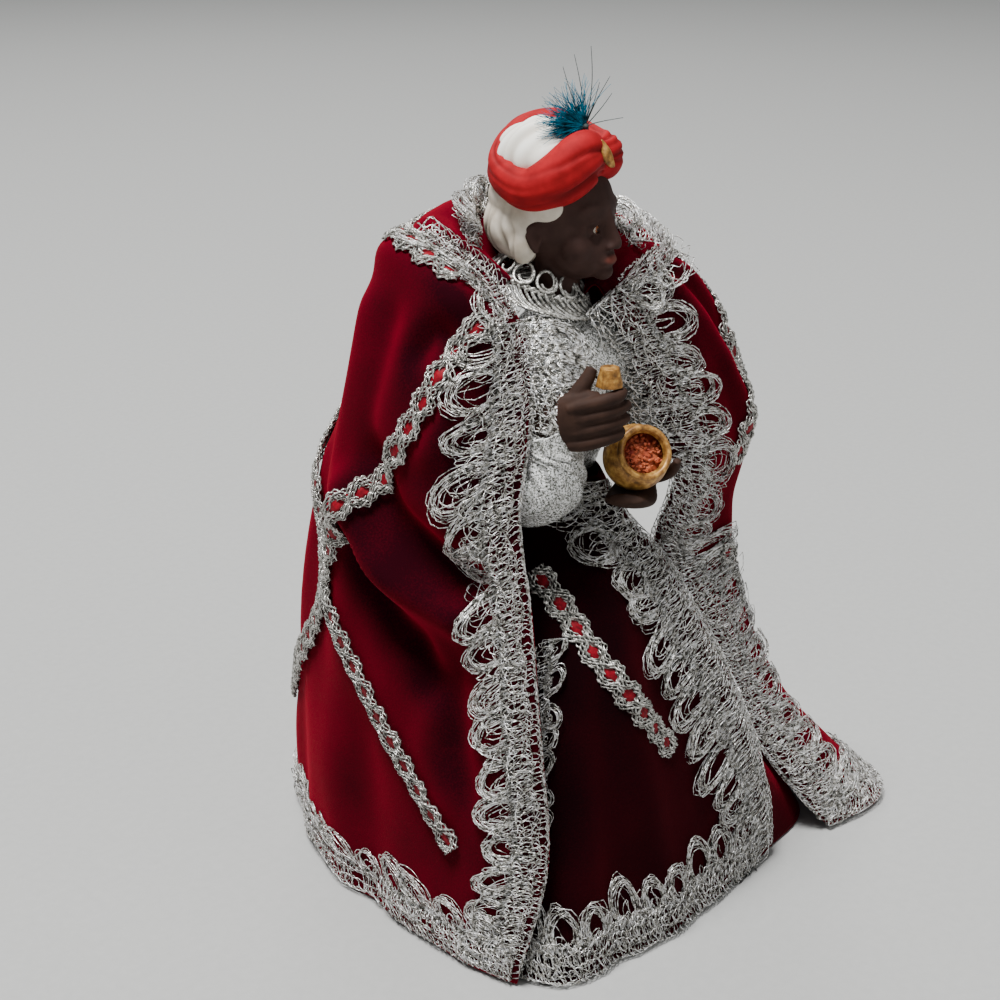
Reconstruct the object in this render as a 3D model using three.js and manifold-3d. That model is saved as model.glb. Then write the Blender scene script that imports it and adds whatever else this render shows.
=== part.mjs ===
// A dressed crib figure: a wise man with a painted clay head and hands, holding an open jar of myrrh.
// Millimetres, +Z up. The figure faces -Y and stands on the hems of its robe and its cape.

import * as THREE from "three";
import Module from "manifold-3d";

const wasm = await Module();
wasm.setup();

// Driving dimensions
const CLOTH = 1.5; // thickness that stands for the velvet
const GAP = 0.4; // clearance between neighbouring solids
const TRIM = 0.9; // thickness that stands for lace and braid
const CAPE_COLUMNS = 18;
const CAPE_ROWS = 13;
const LEFT_COLUMNS = 10;
const BRAID_WIDTH = 8;
const FRONT_LACE = 23;
const HEM_SHARE = 0.12;
const JAR_RADIUS = 11.6;
const JAR_WALL = 1.3;
const TORSO_FOOT = 172.5;
const SLIVER = 0.15; // detail under this is left out where bodies are joined

// Laying out
// Points are written as across, away and up, in axes turned an eighth of a turn from the front.
const TURN = Math.PI / 4;
const CENTRE = [-42.54, -33.76];

const at = (across, away, up) =>
  new THREE.Vector3(
    Math.cos(TURN) * across + Math.sin(TURN) * away,
    -Math.sin(TURN) * across + Math.cos(TURN) * away,
    up
  );

const spline = (p, q, r, s, t) =>
  0.5 * (2 * q + (r - p) * t + (2 * p - 5 * q + 4 * r - s) * t * t + (3 * q - p - 3 * r + s) * t * t * t);

// One smooth value along a list, for a place from 0 to 1
function along(values, place, closed = false) {
  const count = values.length;
  const spans = closed ? count : count - 1;
  const x = closed ? (((place % 1) + 1) % 1) * spans : Math.min(Math.max(place, 0), 1) * spans;
  const i = Math.min(Math.floor(x), spans - 1);
  const pick = (k) => {
    if (closed) return values[(k + count) % count];
    if (k < 0) return 2 * values[0] - values[1];
    if (k >= count) return 2 * values[count - 1] - values[count - 2];
    return values[k];
  };
  return spline(pick(i - 1), pick(i), pick(i + 1), pick(i + 2), x - i);
}

// A smooth cloth through a net of rows, each a list of [across, away, up]
function cloth(net, closed = false) {
  return (s, t) => {
    const value = [0, 1, 2].map((k) =>
      along(net.map((row) => along(row.map((point) => point[k]), s, closed)), t)
    );
    return at(...value);
  };
}

function normalOf(surface, s, t, side) {
  const step = 0.004;
  const ds = surface(s + step, t).sub(surface(s - step, t));
  const dt = surface(s, Math.min(t + step, 1)).sub(surface(s, Math.max(t - step, 0)));
  return ds.cross(dt).normalize().multiplyScalar(side);
}

function solid(name, points, faces, colour) {
  const geometry = new THREE.BufferGeometry();
  geometry.setAttribute("position", new THREE.Float32BufferAttribute(points.flatMap((p) => p.toArray()), 3));
  geometry.setIndex(faces.flat());
  geometry.computeVertexNormals();
  const mesh = new THREE.Mesh(geometry, new THREE.MeshStandardMaterial({ color: colour }));
  mesh.name = name;
  return mesh;
}

// A thin closed shell over the chosen cells of a cloth, between two distances from it
function shell(name, surface, columns, rows, side, near, far, colour, chosen = () => true) {
  const points = [];
  const numbers = new Map();
  const place = (i, j, layer) => {
    const key = `${i},${j},${layer}`;
    if (!numbers.has(key)) {
      const s = i / columns;
      const t = j / rows;
      const out = normalOf(surface, s, t, side);
      numbers.set(key, points.length);
      points.push(surface(s, t).addScaledVector(out, layer ? far : near));
    }
    return numbers.get(key);
  };
  const faces = [];
  const quad = (a, b, c, d) => {
    faces.push(side > 0 ? [a, b, c] : [a, c, b]);
    faces.push(side > 0 ? [a, c, d] : [a, d, c]);
  };
  const has = (i, j) => i >= 0 && j >= 0 && i < columns && j < rows && chosen(i, j);
  for (let i = 0; i < columns; i++) {
    for (let j = 0; j < rows; j++) {
      if (!has(i, j)) continue;
      const low = [place(i, j, 0), place(i + 1, j, 0), place(i + 1, j + 1, 0), place(i, j + 1, 0)];
      const top = [place(i, j, 1), place(i + 1, j, 1), place(i + 1, j + 1, 1), place(i, j + 1, 1)];
      quad(...top);
      quad(low[3], low[2], low[1], low[0]);
      if (!has(i, j - 1)) quad(low[0], low[1], top[1], top[0]);
      if (!has(i + 1, j)) quad(low[1], low[2], top[2], top[1]);
      if (!has(i, j + 1)) quad(low[2], low[3], top[3], top[2]);
      if (!has(i - 1, j)) quad(low[3], low[0], top[0], top[3]);
    }
  }
  return solid(name, points, faces, colour);
}

// A flat braid laid on a cloth along a path of [s, t] places
function braid(name, surface, path, side, colour, width = BRAID_WIDTH, lift = () => 0) {
  const steps = path.length * 2;
  const spot = (x) => [0, 1].map((k) => along(path.map((p) => p[k]), x));
  const points = [];
  const faces = [];
  for (let i = 0; i <= steps; i++) {
    const x = i / steps;
    const [s, t] = spot(x);
    const out = normalOf(surface, s, t, side);
    const before = surface(...spot(Math.max(x - 0.01, 0)));
    const going = surface(...spot(Math.min(x + 0.01, 1))).sub(before).normalize();
    const sideways = out.clone().cross(going);
    const h = 0.01;
    const du = surface(s + h, t).sub(surface(s - h, t)).divideScalar(2 * h);
    const dv = surface(s, t + h).sub(surface(s, t - h)).divideScalar(2 * h);
    const [aa, ab, bb] = [du.dot(du), du.dot(dv), dv.dot(dv)];
    const [ra, rb] = [du.dot(sideways), dv.dot(sideways)];
    const det = aa * bb - ab * ab;
    const step = [(ra * bb - rb * ab) / det, (rb * aa - ra * ab) / det];
    for (const [edge, far] of [[-1, 0], [1, 0], [1, 1], [-1, 1]]) {
      const [ps, pt] = [s + (step[0] * edge * width) / 2, t + (step[1] * edge * width) / 2];
      const up = normalOf(surface, ps, pt, side);
      const height = CLOTH / 2 + GAP + 0.6 + lift(x) + far * TRIM;
      points.push(surface(ps, pt).addScaledVector(up, height));
    }
  }
  for (let i = 0; i < steps; i++) {
    for (let k = 0; k < 4; k++) {
      const [a, b] = [i * 4 + k, i * 4 + ((k + 1) % 4)];
      faces.push([a, a + 4, b + 4], [a, b + 4, b]);
    }
  }
  const end = steps * 4;
  faces.push([0, 1, 2], [0, 2, 3], [end, end + 2, end + 1], [end, end + 3, end + 2]);
  return outward(solid(name, points, faces, colour));
}

// Turns a body's faces round when it encloses a negative volume
function outward(mesh) {
  const p = mesh.geometry.attributes.position;
  const index = mesh.geometry.index.array;
  const [a, b, c] = [new THREE.Vector3(), new THREE.Vector3(), new THREE.Vector3()];
  let volume = 0;
  for (let i = 0; i < index.length; i += 3) {
    a.fromBufferAttribute(p, index[i]);
    b.fromBufferAttribute(p, index[i + 1]);
    c.fromBufferAttribute(p, index[i + 2]);
    volume += a.dot(b.clone().cross(c));
  }
  if (volume < 0) {
    for (let i = 0; i < index.length; i += 3) [index[i + 1], index[i + 2]] = [index[i + 2], index[i + 1]];
    mesh.geometry.computeVertexNormals();
  }
  return mesh;
}

// A closed body through rings, each a list of points, capped at both ends
function rings(name, list, colour) {
  const count = list[0].length;
  const points = list.flat();
  const faces = [];
  for (let r = 0; r + 1 < list.length; r++) {
    for (let k = 0; k < count; k++) {
      const [a, b] = [r * count + k, r * count + ((k + 1) % count)];
      faces.push([a, b, b + count], [a, b + count, a + count]);
    }
  }
  for (const r of [0, list.length - 1]) {
    const centre = new THREE.Vector3();
    for (const p of list[r]) centre.addScaledVector(p, 1 / count);
    const hub = points.push(centre) - 1;
    for (let k = 0; k < count; k++) {
      const [a, b] = [r * count + k, r * count + ((k + 1) % count)];
      faces.push(r === 0 ? [hub, b, a] : [hub, a, b]);
    }
  }
  return outward(solid(name, points, faces, colour));
}

// A limb: oval rings along a smooth line of [across, away, up, half width, half depth]
function limb(name, line, colour, around = 14, steps = 12, ripple = () => 1) {
  const value = (x, k) => along(line.map((p) => p[k]), x);
  const centre = (x) => at(value(x, 0), value(x, 1), value(x, 2));
  const list = [];
  const up = new THREE.Vector3(0, 0, 1);
  for (let i = 0; i <= steps; i++) {
    const x = i / steps;
    const going = centre(Math.min(x + 0.01, 1)).sub(centre(Math.max(x - 0.01, 0))).normalize();
    const side = going.clone().cross(up).normalize();
    const rise = side.clone().cross(going).normalize();
    const ring = [];
    for (let k = 0; k < around; k++) {
      const angle = (2 * Math.PI * k) / around;
      const size = ripple(x, angle);
      ring.push(
        centre(x)
          .addScaledVector(side, Math.cos(angle) * value(x, 4) * size)
          .addScaledVector(rise, Math.sin(angle) * value(x, 3) * size)
      );
    }
    list.push(ring);
  }
  return rings(name, list, colour);
}

// Joining and cutting
function manifold(mesh) {
  const geometry = mesh.geometry;
  return new wasm.Manifold(
    new wasm.Mesh({
      numProp: 3,
      vertProperties: new Float32Array(geometry.attributes.position.array),
      triVerts: new Uint32Array(geometry.index.array),
    })
  );
}

function fromManifold(name, body, colour) {
  const mesh = body.getMesh();
  const geometry = new THREE.BufferGeometry();
  geometry.setAttribute("position", new THREE.Float32BufferAttribute(mesh.vertProperties, 3));
  geometry.setIndex([...mesh.triVerts]);
  geometry.computeVertexNormals();
  const result = new THREE.Mesh(geometry, new THREE.MeshStandardMaterial({ color: colour }));
  result.name = name;
  return result;
}

const joined = (name, meshes, colour) =>
  fromManifold(name, meshes.map(manifold).reduce((a, b) => a.add(b)).simplify(SLIVER), colour);

// A stretched ball in axes of its own: centre, half sizes, and the basis that it lies in
function ball(centre, half, basis, around = 14, levels = 9, shape = () => 1) {
  const list = [];
  for (let j = 1; j < levels; j++) {
    const polar = (Math.PI * j) / levels;
    const ring = [];
    for (let k = 0; k < around; k++) {
      const angle = (2 * Math.PI * k) / around;
      const size = shape(polar, angle);
      const local = new THREE.Vector3(
        Math.sin(polar) * Math.cos(angle) * half[0] * size,
        Math.sin(polar) * Math.sin(angle) * half[1] * size,
        Math.cos(polar) * half[2] * size
      );
      ring.push(local.applyMatrix4(basis).add(centre));
    }
    list.push(ring);
  }
  return rings("ball", list, 0);
}

const VELVET = 0x6a0710;
const LACE = 0xb9b9ba;
const LAME = 0xc9cbcd;
const SKIN = 0x2f211f;
const GOLD = 0xa9792f;

// The right half of the cape, from its front edge round the figure's right side to its rear edge
const RIGHT = [
  [[-18, -15, 240], [-24, -14, 246], [-32, -12, 252], [-40, -8, 257], [-46, -1, 260],
    [-46, 5, 261], [-42, 11, 262], [-37, 17, 263], [-32, 22, 263], [-27, 26, 264]],
  [[-10, -27, 225], [-20, -32, 230], [-34, -33, 237], [-47, -26, 243], [-57, -13, 246],
    [-61, 1, 244], [-59, 14, 243], [-52, 26, 243], [-41, 34, 245], [-29, 36, 246]],
  [[-9, -41, 200], [-22, -43, 202], [-38, -42, 204], [-53, -34, 206], [-65, -21, 207],
    [-71, -3, 206], [-72, 14, 205], [-66, 32, 205], [-50, 44, 205], [-31, 46, 205]],
  [[-12, -50, 171], [-26, -49, 171], [-42, -46, 171], [-59, -34, 171], [-73, -15, 171],
    [-80, 4, 171], [-82, 24, 171], [-75, 43, 171], [-56, 56, 171], [-30, 58, 171]],
  [[-7, -58, 137], [-23, -44, 137], [-40, -38, 137], [-60, -26, 137], [-75, -5, 137],
    [-87, 15, 137], [-91, 34, 137], [-84, 56, 137], [-60, 69, 137], [-26, 71, 137]],
  [[-3, -66, 90], [-24, -49, 90], [-44, -38, 90], [-64, -20, 90], [-80, 4, 90],
    [-92, 27, 90], [-98, 49, 90], [-89, 72, 90], [-58, 83, 90], [-20, 84, 90]],
  [[-1, -71, 46], [-24, -52, 46], [-47, -35, 46], [-67, -16, 46], [-84, 6, 46],
    [-97, 33, 46], [-103, 60, 46], [-89, 84, 46], [-54, 96, 46], [-14, 97, 46]],
  [[-11, -74, 0.8], [-32, -56, 0.8], [-51, -39, 0.8], [-68, -22, 0.8], [-84, 4, 0.8],
    [-97, 35, 0.8], [-103, 66, 0.8], [-89, 92, 0.8], [-52, 104, 0.8], [-12, 105, 0.8]],
];

// The left half, thrown open over the left arm
const LEFT = [
  [[16, -5, 236], [23, 3, 243], [31, 12, 247], [34, 21, 249], [26, 31, 254], [5, 36, 260], [-21, 32, 264]],
  [[22, -4, 225], [32, 4, 228], [44, 14, 232], [49, 26, 234], [40, 38, 236], [12, 45, 240], [-20, 43, 243]],
  [[32, 4, 200], [45, 10, 203], [56, 20, 207], [61, 32, 210], [55, 46, 212], [30, 55, 213], [-10, 54, 214]],
  [[44, 12, 165], [56, 17, 168], [66, 28, 172], [72, 40, 176], [68, 54, 178], [50, 62, 181], [22, 62, 184]],
  [[38, 18, 128], [49, 22, 131], [60, 32, 134], [68, 44, 138], [70, 56, 141], [62, 64, 144], [48, 66, 147]],
  [[59, 23, 97], [65, 28, 98], [70, 38, 100], [71, 50, 102], [68, 62, 104], [62, 70, 105], [56, 73, 106]],
  [[78, 28, 52], [85, 33, 52], [92, 42, 52], [95, 55, 53], [91, 68, 54], [84, 76, 55], [76, 79, 55]],
  [[114, 34, 0.8], [126, 42, 0.8], [138, 55, 0.8], [140, 70, 0.8], [130, 84, 0.8], [114, 90, 0.8],
    [98, 90, 0.8]],
];

// The robe's rings, from the floor up, from its front edge round by the figure's right
const ROBE = [
  [0, [87, 16], [62, -20], [34, -52], [4, -74], [-22, -60], [-58, -22], [-76, 22], [-62, 70], [-10, 86],
    [50, 88], [90, 76], [104, 46]],
  [22, [85, 13], [60, -20], [32, -50], [5, -70], [-22, -55], [-54, -22], [-71, 20], [-60, 64], [-10, 80],
    [46, 80], [82, 66], [92, 38]],
  [50, [79, 9], [55, -22], [30, -48], [6, -62], [-20, -50], [-50, -22], [-66, 16], [-56, 56], [-10, 70],
    [38, 68], [64, 50], [72, 26]],
  [86, [66, 0], [46, -24], [27, -44], [6, -53], [-17, -44], [-42, -22], [-56, 10], [-50, 44], [-10, 56],
    [28, 52], [46, 36], [54, 16]],
  [115, [53, -6], [38, -25], [23, -38], [5, -43], [-14, -37], [-34, -20], [-44, 6], [-40, 32], [-10, 42],
    [18, 38], [33, 24], [42, 8]],
  [140, [39, -12], [29, -22], [17, -28], [3, -30], [-13, -27], [-26, -16], [-32, 4], [-28, 24], [-8, 31],
    [12, 27], [22, 15], [30, 2]],
  [160, [24, -15], [18, -17], [9, -17], [0, -17], [-10, -17], [-20, -12], [-25, 3], [-21, 18], [-6, 24],
    [9, 20], [16, 10], [21, -3]],
  [172, [15, -11], [11, -13], [5, -14], [-2, -14], [-9, -13], [-15, -9], [-18, 3], [-16, 13], [-5, 18],
    [7, 15], [12, 7], [15, -3]],
];

const group = new THREE.Group();
group.name = "santon_wise_man";

const right = cloth(RIGHT);
const left = cloth(LEFT);
group.add(shell("cape_right", right, CAPE_COLUMNS, CAPE_ROWS, 1, -CLOTH / 2, CLOTH / 2, VELVET));
group.add(shell("cape_left", left, LEFT_COLUMNS, CAPE_ROWS, -1, -CLOTH / 2, CLOTH / 2, VELVET));

const laceNear = CLOTH / 2 + GAP;
const laceFar = laceNear + TRIM;
const rightFrame = (i, j) => i < 3 || i >= CAPE_COLUMNS - 2 || j >= CAPE_ROWS - 1;
const leftFrame = (i, j) => i < 3 || i >= LEFT_COLUMNS - 2 || j >= CAPE_ROWS - 1;
group.add(shell("cape_right_lace", right, CAPE_COLUMNS, CAPE_ROWS, 1, laceNear, laceFar, LACE, rightFrame));
group.add(shell("cape_left_lace", left, LEFT_COLUMNS, CAPE_ROWS, -1, laceNear + 0.35, laceFar + 0.35, LACE, leftFrame));

// The robe is a bell of cloth with a crisp front edge, open at the floor and drawn together at the waist
const robeNet = ROBE.map(([up, ...ring]) => ring.map(([across, away]) => [across, away, up]));
const robe = cloth(robeNet, true);
const ROBE_AROUND = 28;
const ROBE_LEVELS = 9;
const robeRing = (t, depth) => {
  const ring = [];
  for (let i = 0; i < ROBE_AROUND; i++) {
    const out = normalOf(robe, i / ROBE_AROUND, t, -1);
    out.z = 0;
    const spot = robe(i / ROBE_AROUND, t).addScaledVector(out, -depth / out.lengthSq());
    ring.push(spot);
  }
  return ring;
};
const robeRings = [];
for (let j = ROBE_LEVELS; j >= 0; j--) {
  const ring = robeRing(j / ROBE_LEVELS, CLOTH);
  if (j === ROBE_LEVELS) for (const spot of ring) spot.z -= CLOTH;
  robeRings.push(ring);
}
for (let j = 0; j <= ROBE_LEVELS; j++) robeRings.push(robeRing(j / ROBE_LEVELS, 0));
group.add(rings("robe", robeRings, VELVET));

const BAND_LIFT = GAP + 0.75;
const laceTop = 7 / 9;
const laceShare = (t) => (0.08 * FRONT_LACE) / robe(0, t).distanceTo(robe(0.08, t));
const robeBands = [
  [(a, t) => robe(a * laceShare(t * laceTop), Math.max(t * laceTop, 0.012)), 4, 7],
  [(a, t) => robe(0.002 + a * 0.272, 0.013 + t * HEM_SHARE), 10, 1],
  [(a, t) => robe(0.246 + a * 0.028, 0.014 + t * 0.64), 1, 5],
];
group.add(
  joined(
    "robe_lace",
    robeBands.map(([surface, columns, rows], k) =>
      shell("band", surface, columns, rows, -1, BAND_LIFT + 0.02 * k, BAND_LIFT + TRIM + 0.02 * k, LACE)
    ),
    LACE
  )
);

// The tunic's body and its two sleeves, the right one with a full gathered cuff
const torsoRing = (up, halfWidth, halfDepth, forward) => {
  const ring = [];
  for (let k = 0; k < 16; k++) {
    const angle = (2 * Math.PI * k) / 16;
    ring.push(new THREE.Vector3(Math.cos(angle) * halfWidth, Math.sin(angle) * halfDepth - forward, up));
  }
  return ring;
};
const level = new THREE.Matrix4();
const torso = rings("torso", [
  torsoRing(TORSO_FOOT, 16, 13, 0),
  torsoRing(184, 19, 15, 2),
  torsoRing(200, 24, 18, 4),
  torsoRing(213, 27, 18, 4),
  torsoRing(222, 25, 15, 3),
  torsoRing(228.5, 15, 11, 1),
  torsoRing(233, 9, 8.6, 0),
  torsoRing(236, 8.6, 8.6, 0),
], LAME);
const rightSleeve = limb("sleeve", [
  [-12, -12, 218, 8, 8], [-24, -22, 208, 9, 9], [-30, -28, 192, 9, 9], [-20, -31, 189, 10, 9],
  [-5.4, -32.6, 196.4, 7.6, 6.8],
], LAME, 10, 8);
const cuff = ball(at(-4.8, -29.6, 177), [15.4, 14.6, 15], level, 12, 6);
const leftSleeve = limb("sleeve", [
  [12, 12, 218, 8, 8], [22, 24, 208, 8, 8], [28, 28, 193, 8, 8], [29, 16, 184, 7.5, 7.5],
  [29.5, 1, 178.6, 7.5, 7],
], LAME, 10, 7);
group.add(joined("tunic", [torso, rightSleeve, cuff, leftSleeve], LAME));

// Hands
const finger = (line) => limb("finger", line, SKIN, 6, 3);
const rightHand = [
  limb("wrist", [[-4, -36.4, 198.2, 4.6, 3.6], [1, -37, 199.4, 6.8, 4], [7, -37.5, 200.8, 9.2, 4.4],
    [13, -38, 202.2, 9.6, 4.2], [16, -38, 202.6, 8.6, 3.4]], SKIN, 8, 5),
];
for (let k = 0; k < 4; k++) {
  const up = 208.8 - 4.6 * k;
  const reach = [22.6, 24.6, 24, 21.6][k];
  rightHand.push(
    finger([[9, -38.6, up - 1, 2.7, 2.9], [16, -38.9, up + 0.4, 2.6, 2.8], [20.4, -37, up + 1.2, 2.4, 2.6],
      [reach, -33.2, up + 1.6, 1.7, 1.8]])
  );
}
rightHand.push(
  finger([[4, -35.6, 204.6, 3.2, 3.2], [7.6, -34.4, 210, 3, 3], [10.6, -33.4, 214.6, 2.6, 2.6],
    [12, -32.6, 218.6, 1.7, 1.7]])
);
group.add(joined("hand_right", rightHand, SKIN));

const leftHand = [
  limb("wrist", [[29.4, -0.4, 176.2, 4.4, 4.8], [29.4, -6, 172.2, 4, 5.6], [28.6, -13, 169.3, 3.4, 7.4],
    [27, -22, 168.2, 3, 9], [25.4, -29, 169.4, 2.6, 8.4],
    [24.6, -33, 171.8, 1.8, 6]], SKIN, 10, 6),
];
leftHand.push(finger([[34, -10, 171, 2.6, 2.6], [38.6, -14, 173.6, 2.3, 2.3], [41.6, -18, 177.6, 2, 2],
  [42.6, -20.6, 181.4, 1.4, 1.4]]));
group.add(joined("hand_left", leftHand, SKIN));

// The round jar, hollow, with its mouth turned out to the right, and the myrrh in it
const jarCentre = at(28, -22, 183);
const jarAxis = at(0.3, -0.8, 0.5).normalize();
const jarTurn = new THREE.Quaternion().setFromUnitVectors(new THREE.Vector3(0, 1, 0), jarAxis);
const lathe = (name, profile, colour, around) => {
  const list = profile.map(([radius, height]) => {
    const ring = [];
    for (let k = 0; k < around; k++) {
      const angle = (2 * Math.PI * k) / around;
      ring.push(
        new THREE.Vector3(Math.cos(angle) * radius, height, Math.sin(angle) * radius)
          .applyQuaternion(jarTurn)
          .add(jarCentre)
      );
    }
    return ring;
  });
  return rings(name, list, colour);
};
const mouth = 8.1;
const lip = 8.2;
const inside = JAR_RADIUS - JAR_WALL;
const bowl = [];
for (let k = 0; k <= 7; k++) {
  const polar = Math.PI * (0.96 - 0.7 * (k / 7));
  bowl.push([JAR_RADIUS * Math.sin(polar), JAR_RADIUS * Math.cos(polar)]);
}
bowl.push([mouth + 1.3, lip + 0.9], [mouth + 0.4, lip + 1.1], [mouth - 0.3, lip + 0.4]);
for (let k = 0; k <= 5; k++) {
  const polar = Math.PI * (0.26 + 0.68 * (k / 5));
  bowl.push([inside * Math.sin(polar), inside * Math.cos(polar)]);
}
group.add(lathe("jar", bowl, GOLD, 14));

const fill = [];
const fillRadius = inside - GAP;
for (let k = 0; k <= 5; k++) {
  const polar = Math.PI * (0.95 - 0.5 * (k / 5));
  fill.push([fillRadius * Math.sin(polar), fillRadius * Math.cos(polar)]);
}
fill.push([fillRadius * 0.88, 4.2], [fillRadius * 0.6, 5.4], [fillRadius * 0.3, 4.8]);
group.add(lathe("myrrh", fill, 0x8a3a22, 14));

// The eight-sided lid between thumb and first finger
const lid = new THREE.Mesh(
  new THREE.CylinderGeometry(3.4, 5, 6.6, 8),
  new THREE.MeshStandardMaterial({ color: GOLD, flatShading: true })
);
lid.name = "lid";
lid.geometry.rotateX(Math.PI / 2);
lid.geometry.rotateY(0.12);
lid.geometry.translate(...at(17.8, -34.4, 216.2).toArray());
group.add(lid);

// The head: one moulding with its neck, hair and turban
const faceWay = at(0.883, -0.469, 0).normalize();
const faceSide = new THREE.Vector3(0, 0, 1).cross(faceWay).normalize();
const headTurn = new THREE.Matrix4().makeBasis(faceSide, faceWay, new THREE.Vector3(0, 0, 1));
const headFoot = at(-1, 1, 0);
const onHead = (side, front, up) =>
  new THREE.Vector3(side, front, up).applyMatrix4(headTurn).add(headFoot);
const headBall = (side, front, up, half, around = 12, levels = 8, shape = () => 1, basis = headTurn) =>
  ball(onHead(side, front, up), half, basis, around, levels, shape);

// The turban's roll, from the forehead round by the near side: turn in degrees, radius, rise, half sizes
const BRIM = [
  [0, 16.5, 5, 4, 6.4], [24, 17, 8.8, 6.8, 9.4], [54, 16.8, 4.6, 7.2, 9.2], [88, 17.4, 0.6, 6.2, 7.2],
  [120, 17.4, 0, 5.6, 6.4], [150, 17.2, -0.6, 5.4, 6.2], [182, 16.8, 0.2, 5.2, 6.2],
  [212, 16.8, 1, 5.2, 6.2], [245, 16.8, 0.6, 5.2, 6.2], [275, 16, -1.3, 5.6, 6.4],
  [306, 16.4, -2.3, 6.6, 7.8], [336, 17.3, 1.4, 6.6, 8.2],
];
const BRIM_HEIGHT = 281.4;
const BRIM_LEAN = [0.43, -0.17];
const BRIM_AROUND = 22;
const BRIM_TUBE = 7;
const brimPath = BRIM.map(([degrees, radius, rise, halfAcross, halfHigh]) => {
  const turn = THREE.MathUtils.degToRad(degrees);
  const side = -radius * Math.sin(turn);
  const front = radius * Math.cos(turn);
  const up = BRIM_HEIGHT + BRIM_LEAN[0] * side + BRIM_LEAN[1] * front + rise;
  return [side, front - 1, up, halfAcross, halfHigh];
});
const brimValue = (x, k) => along(brimPath.map((p) => p[k]), x, true);
const brimPlace = (x) => onHead(brimValue(x, 0), brimValue(x, 1), brimValue(x, 2));
const brimPoints = [];
const brimFaces = [];
for (let i = 0; i < BRIM_AROUND; i++) {
  const x = i / BRIM_AROUND;
  const going = brimPlace(x + 0.01).sub(brimPlace(x - 0.01)).normalize();
  const out = going.clone().cross(new THREE.Vector3(0, 0, 1)).normalize();
  const rise = out.clone().cross(going);
  for (let k = 0; k < BRIM_TUBE; k++) {
    const tube = (2 * Math.PI * k) / BRIM_TUBE;
    brimPoints.push(
      brimPlace(x)
        .addScaledVector(out, Math.cos(tube) * brimValue(x, 3))
        .addScaledVector(rise, Math.sin(tube) * brimValue(x, 4))
    );
    const [a, b] = [i * BRIM_TUBE + k, i * BRIM_TUBE + ((k + 1) % BRIM_TUBE)];
    const [c, d] = [a + BRIM_TUBE, b + BRIM_TUBE].map((n) => n % (BRIM_AROUND * BRIM_TUBE));
    brimFaces.push([a, c, d], [a, d, b]);
  }
}
const brim = outward(solid("brim", brimPoints, brimFaces, 0));

const grooves = (polar, angle) => 1 - 0.05 * Math.abs(Math.sin(polar)) * Math.cos(8 * angle);
group.add(
  joined("head", [
    limb("neck", [[-2, 2, 236.6, 8.4, 8.4], [-1.7, 1.7, 243, 8.8, 8.8], [-1, 1, 252, 9.4, 9.4]], SKIN, 12, 3),
    headBall(0, 0, 266, [17, 21.4, 20], 12, 7),
    headBall(0, 10, 251.6, [12.2, 12.2, 10.4], 12, 6),
    headBall(0, 20, 244.8, [4.4, 3.4, 3.2], 8, 5),
    headBall(0, 22.2, 257.4, [2, 3.2, 5.6], 6, 6),
    headBall(0, 23.8, 254.2, [3, 2.4, 2], 6, 6),
    headBall(0, 20.6, 249, [4.8, 2.6, 2], 8, 5),
    headBall(7.4, 15.2, 254.4, [5.2, 5, 4.6], 8, 6),
    headBall(-7.4, 15.2, 254.4, [5.2, 5, 4.6], 8, 6),
    headBall(0, 17.2, 263.2, [11, 4.6, 2.4], 8, 6),
    headBall(16.2, 0.6, 257, [1.8, 3, 4.4], 6, 6),
    headBall(-16.2, 0.6, 257, [1.8, 3, 4.4], 6, 6),
    headBall(0, -8.6, 261.4, [17.4, 15.2, 12.8], 16, 6, grooves),
    headBall(-14.4, 0.8, 265.2, [4, 8.8, 6.6], 8, 5),
    headBall(14.4, 0.8, 265.2, [4, 8.8, 6.6], 8, 5),
    brim,
    headBall(-2, -4.4, 283, [16.2, 15.8, 12.4], 12, 7),
    headBall(0.2, 19.8, 281.6, [2.8, 2.6, 5.2], 6, 5),
  ], SKIN)
);

// The plume: a soft tuft with long fine quills, standing in the turban
const FEATHER_FOOT = 292.1;
const plume = [
  limb("tuft", [[9.2, -9.6, FEATHER_FOOT, 1.2, 1.2], [7.4, -9.2, 298.4, 3, 2], [2.6, -9, 302, 4.6, 2.2],
    [-6, -9, 302.4, 1, 0.6]], 0x1f6f80, 8, 5),
];
for (const [across, up] of [[10, 321], [1, 314], [16.4, 306.6], [13, 312]]) {
  plume.push(
    limb("quill", [[9, -9.4, 297, 0.5, 0.5], [(9 + across) / 2 + 0.6, -8.6, (297 + up) / 2, 0.45, 0.45],
      [across, -8, up, 0.3, 0.3]], 0x1f6f80, 4, 3)
  );
}
group.add(joined("feather", plume, 0x1f6f80));

// The looped gimp round the neck and the lace standing up behind it
const gimpPoints = [];
const gimpFaces = [];
const GIMP_AROUND = 24;
for (let i = 0; i < GIMP_AROUND; i++) {
  const angle = (2 * Math.PI * i) / GIMP_AROUND;
  for (let k = 0; k < 6; k++) {
    const tube = (2 * Math.PI * k) / 6;
    const radius = 14.8 + 2 * Math.cos(tube) - 1.4 * Math.sin(tube);
    const across = -5 + radius * Math.cos(angle);
    const away = 1 + radius * Math.sin(angle);
    gimpPoints.push(at(across, away, 242 - 0.36 * (across + 5) + 3.6 * Math.sin(tube)));
    const [a, b] = [i * 6 + k, i * 6 + ((k + 1) % 6)];
    const [c, d] = [a + 6, b + 6].map((n) => n % (GIMP_AROUND * 6));
    gimpFaces.push([a, c, d], [a, d, b]);
  }
}
group.add(outward(solid("collar_gimp", gimpPoints, gimpFaces, LACE)));

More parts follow.
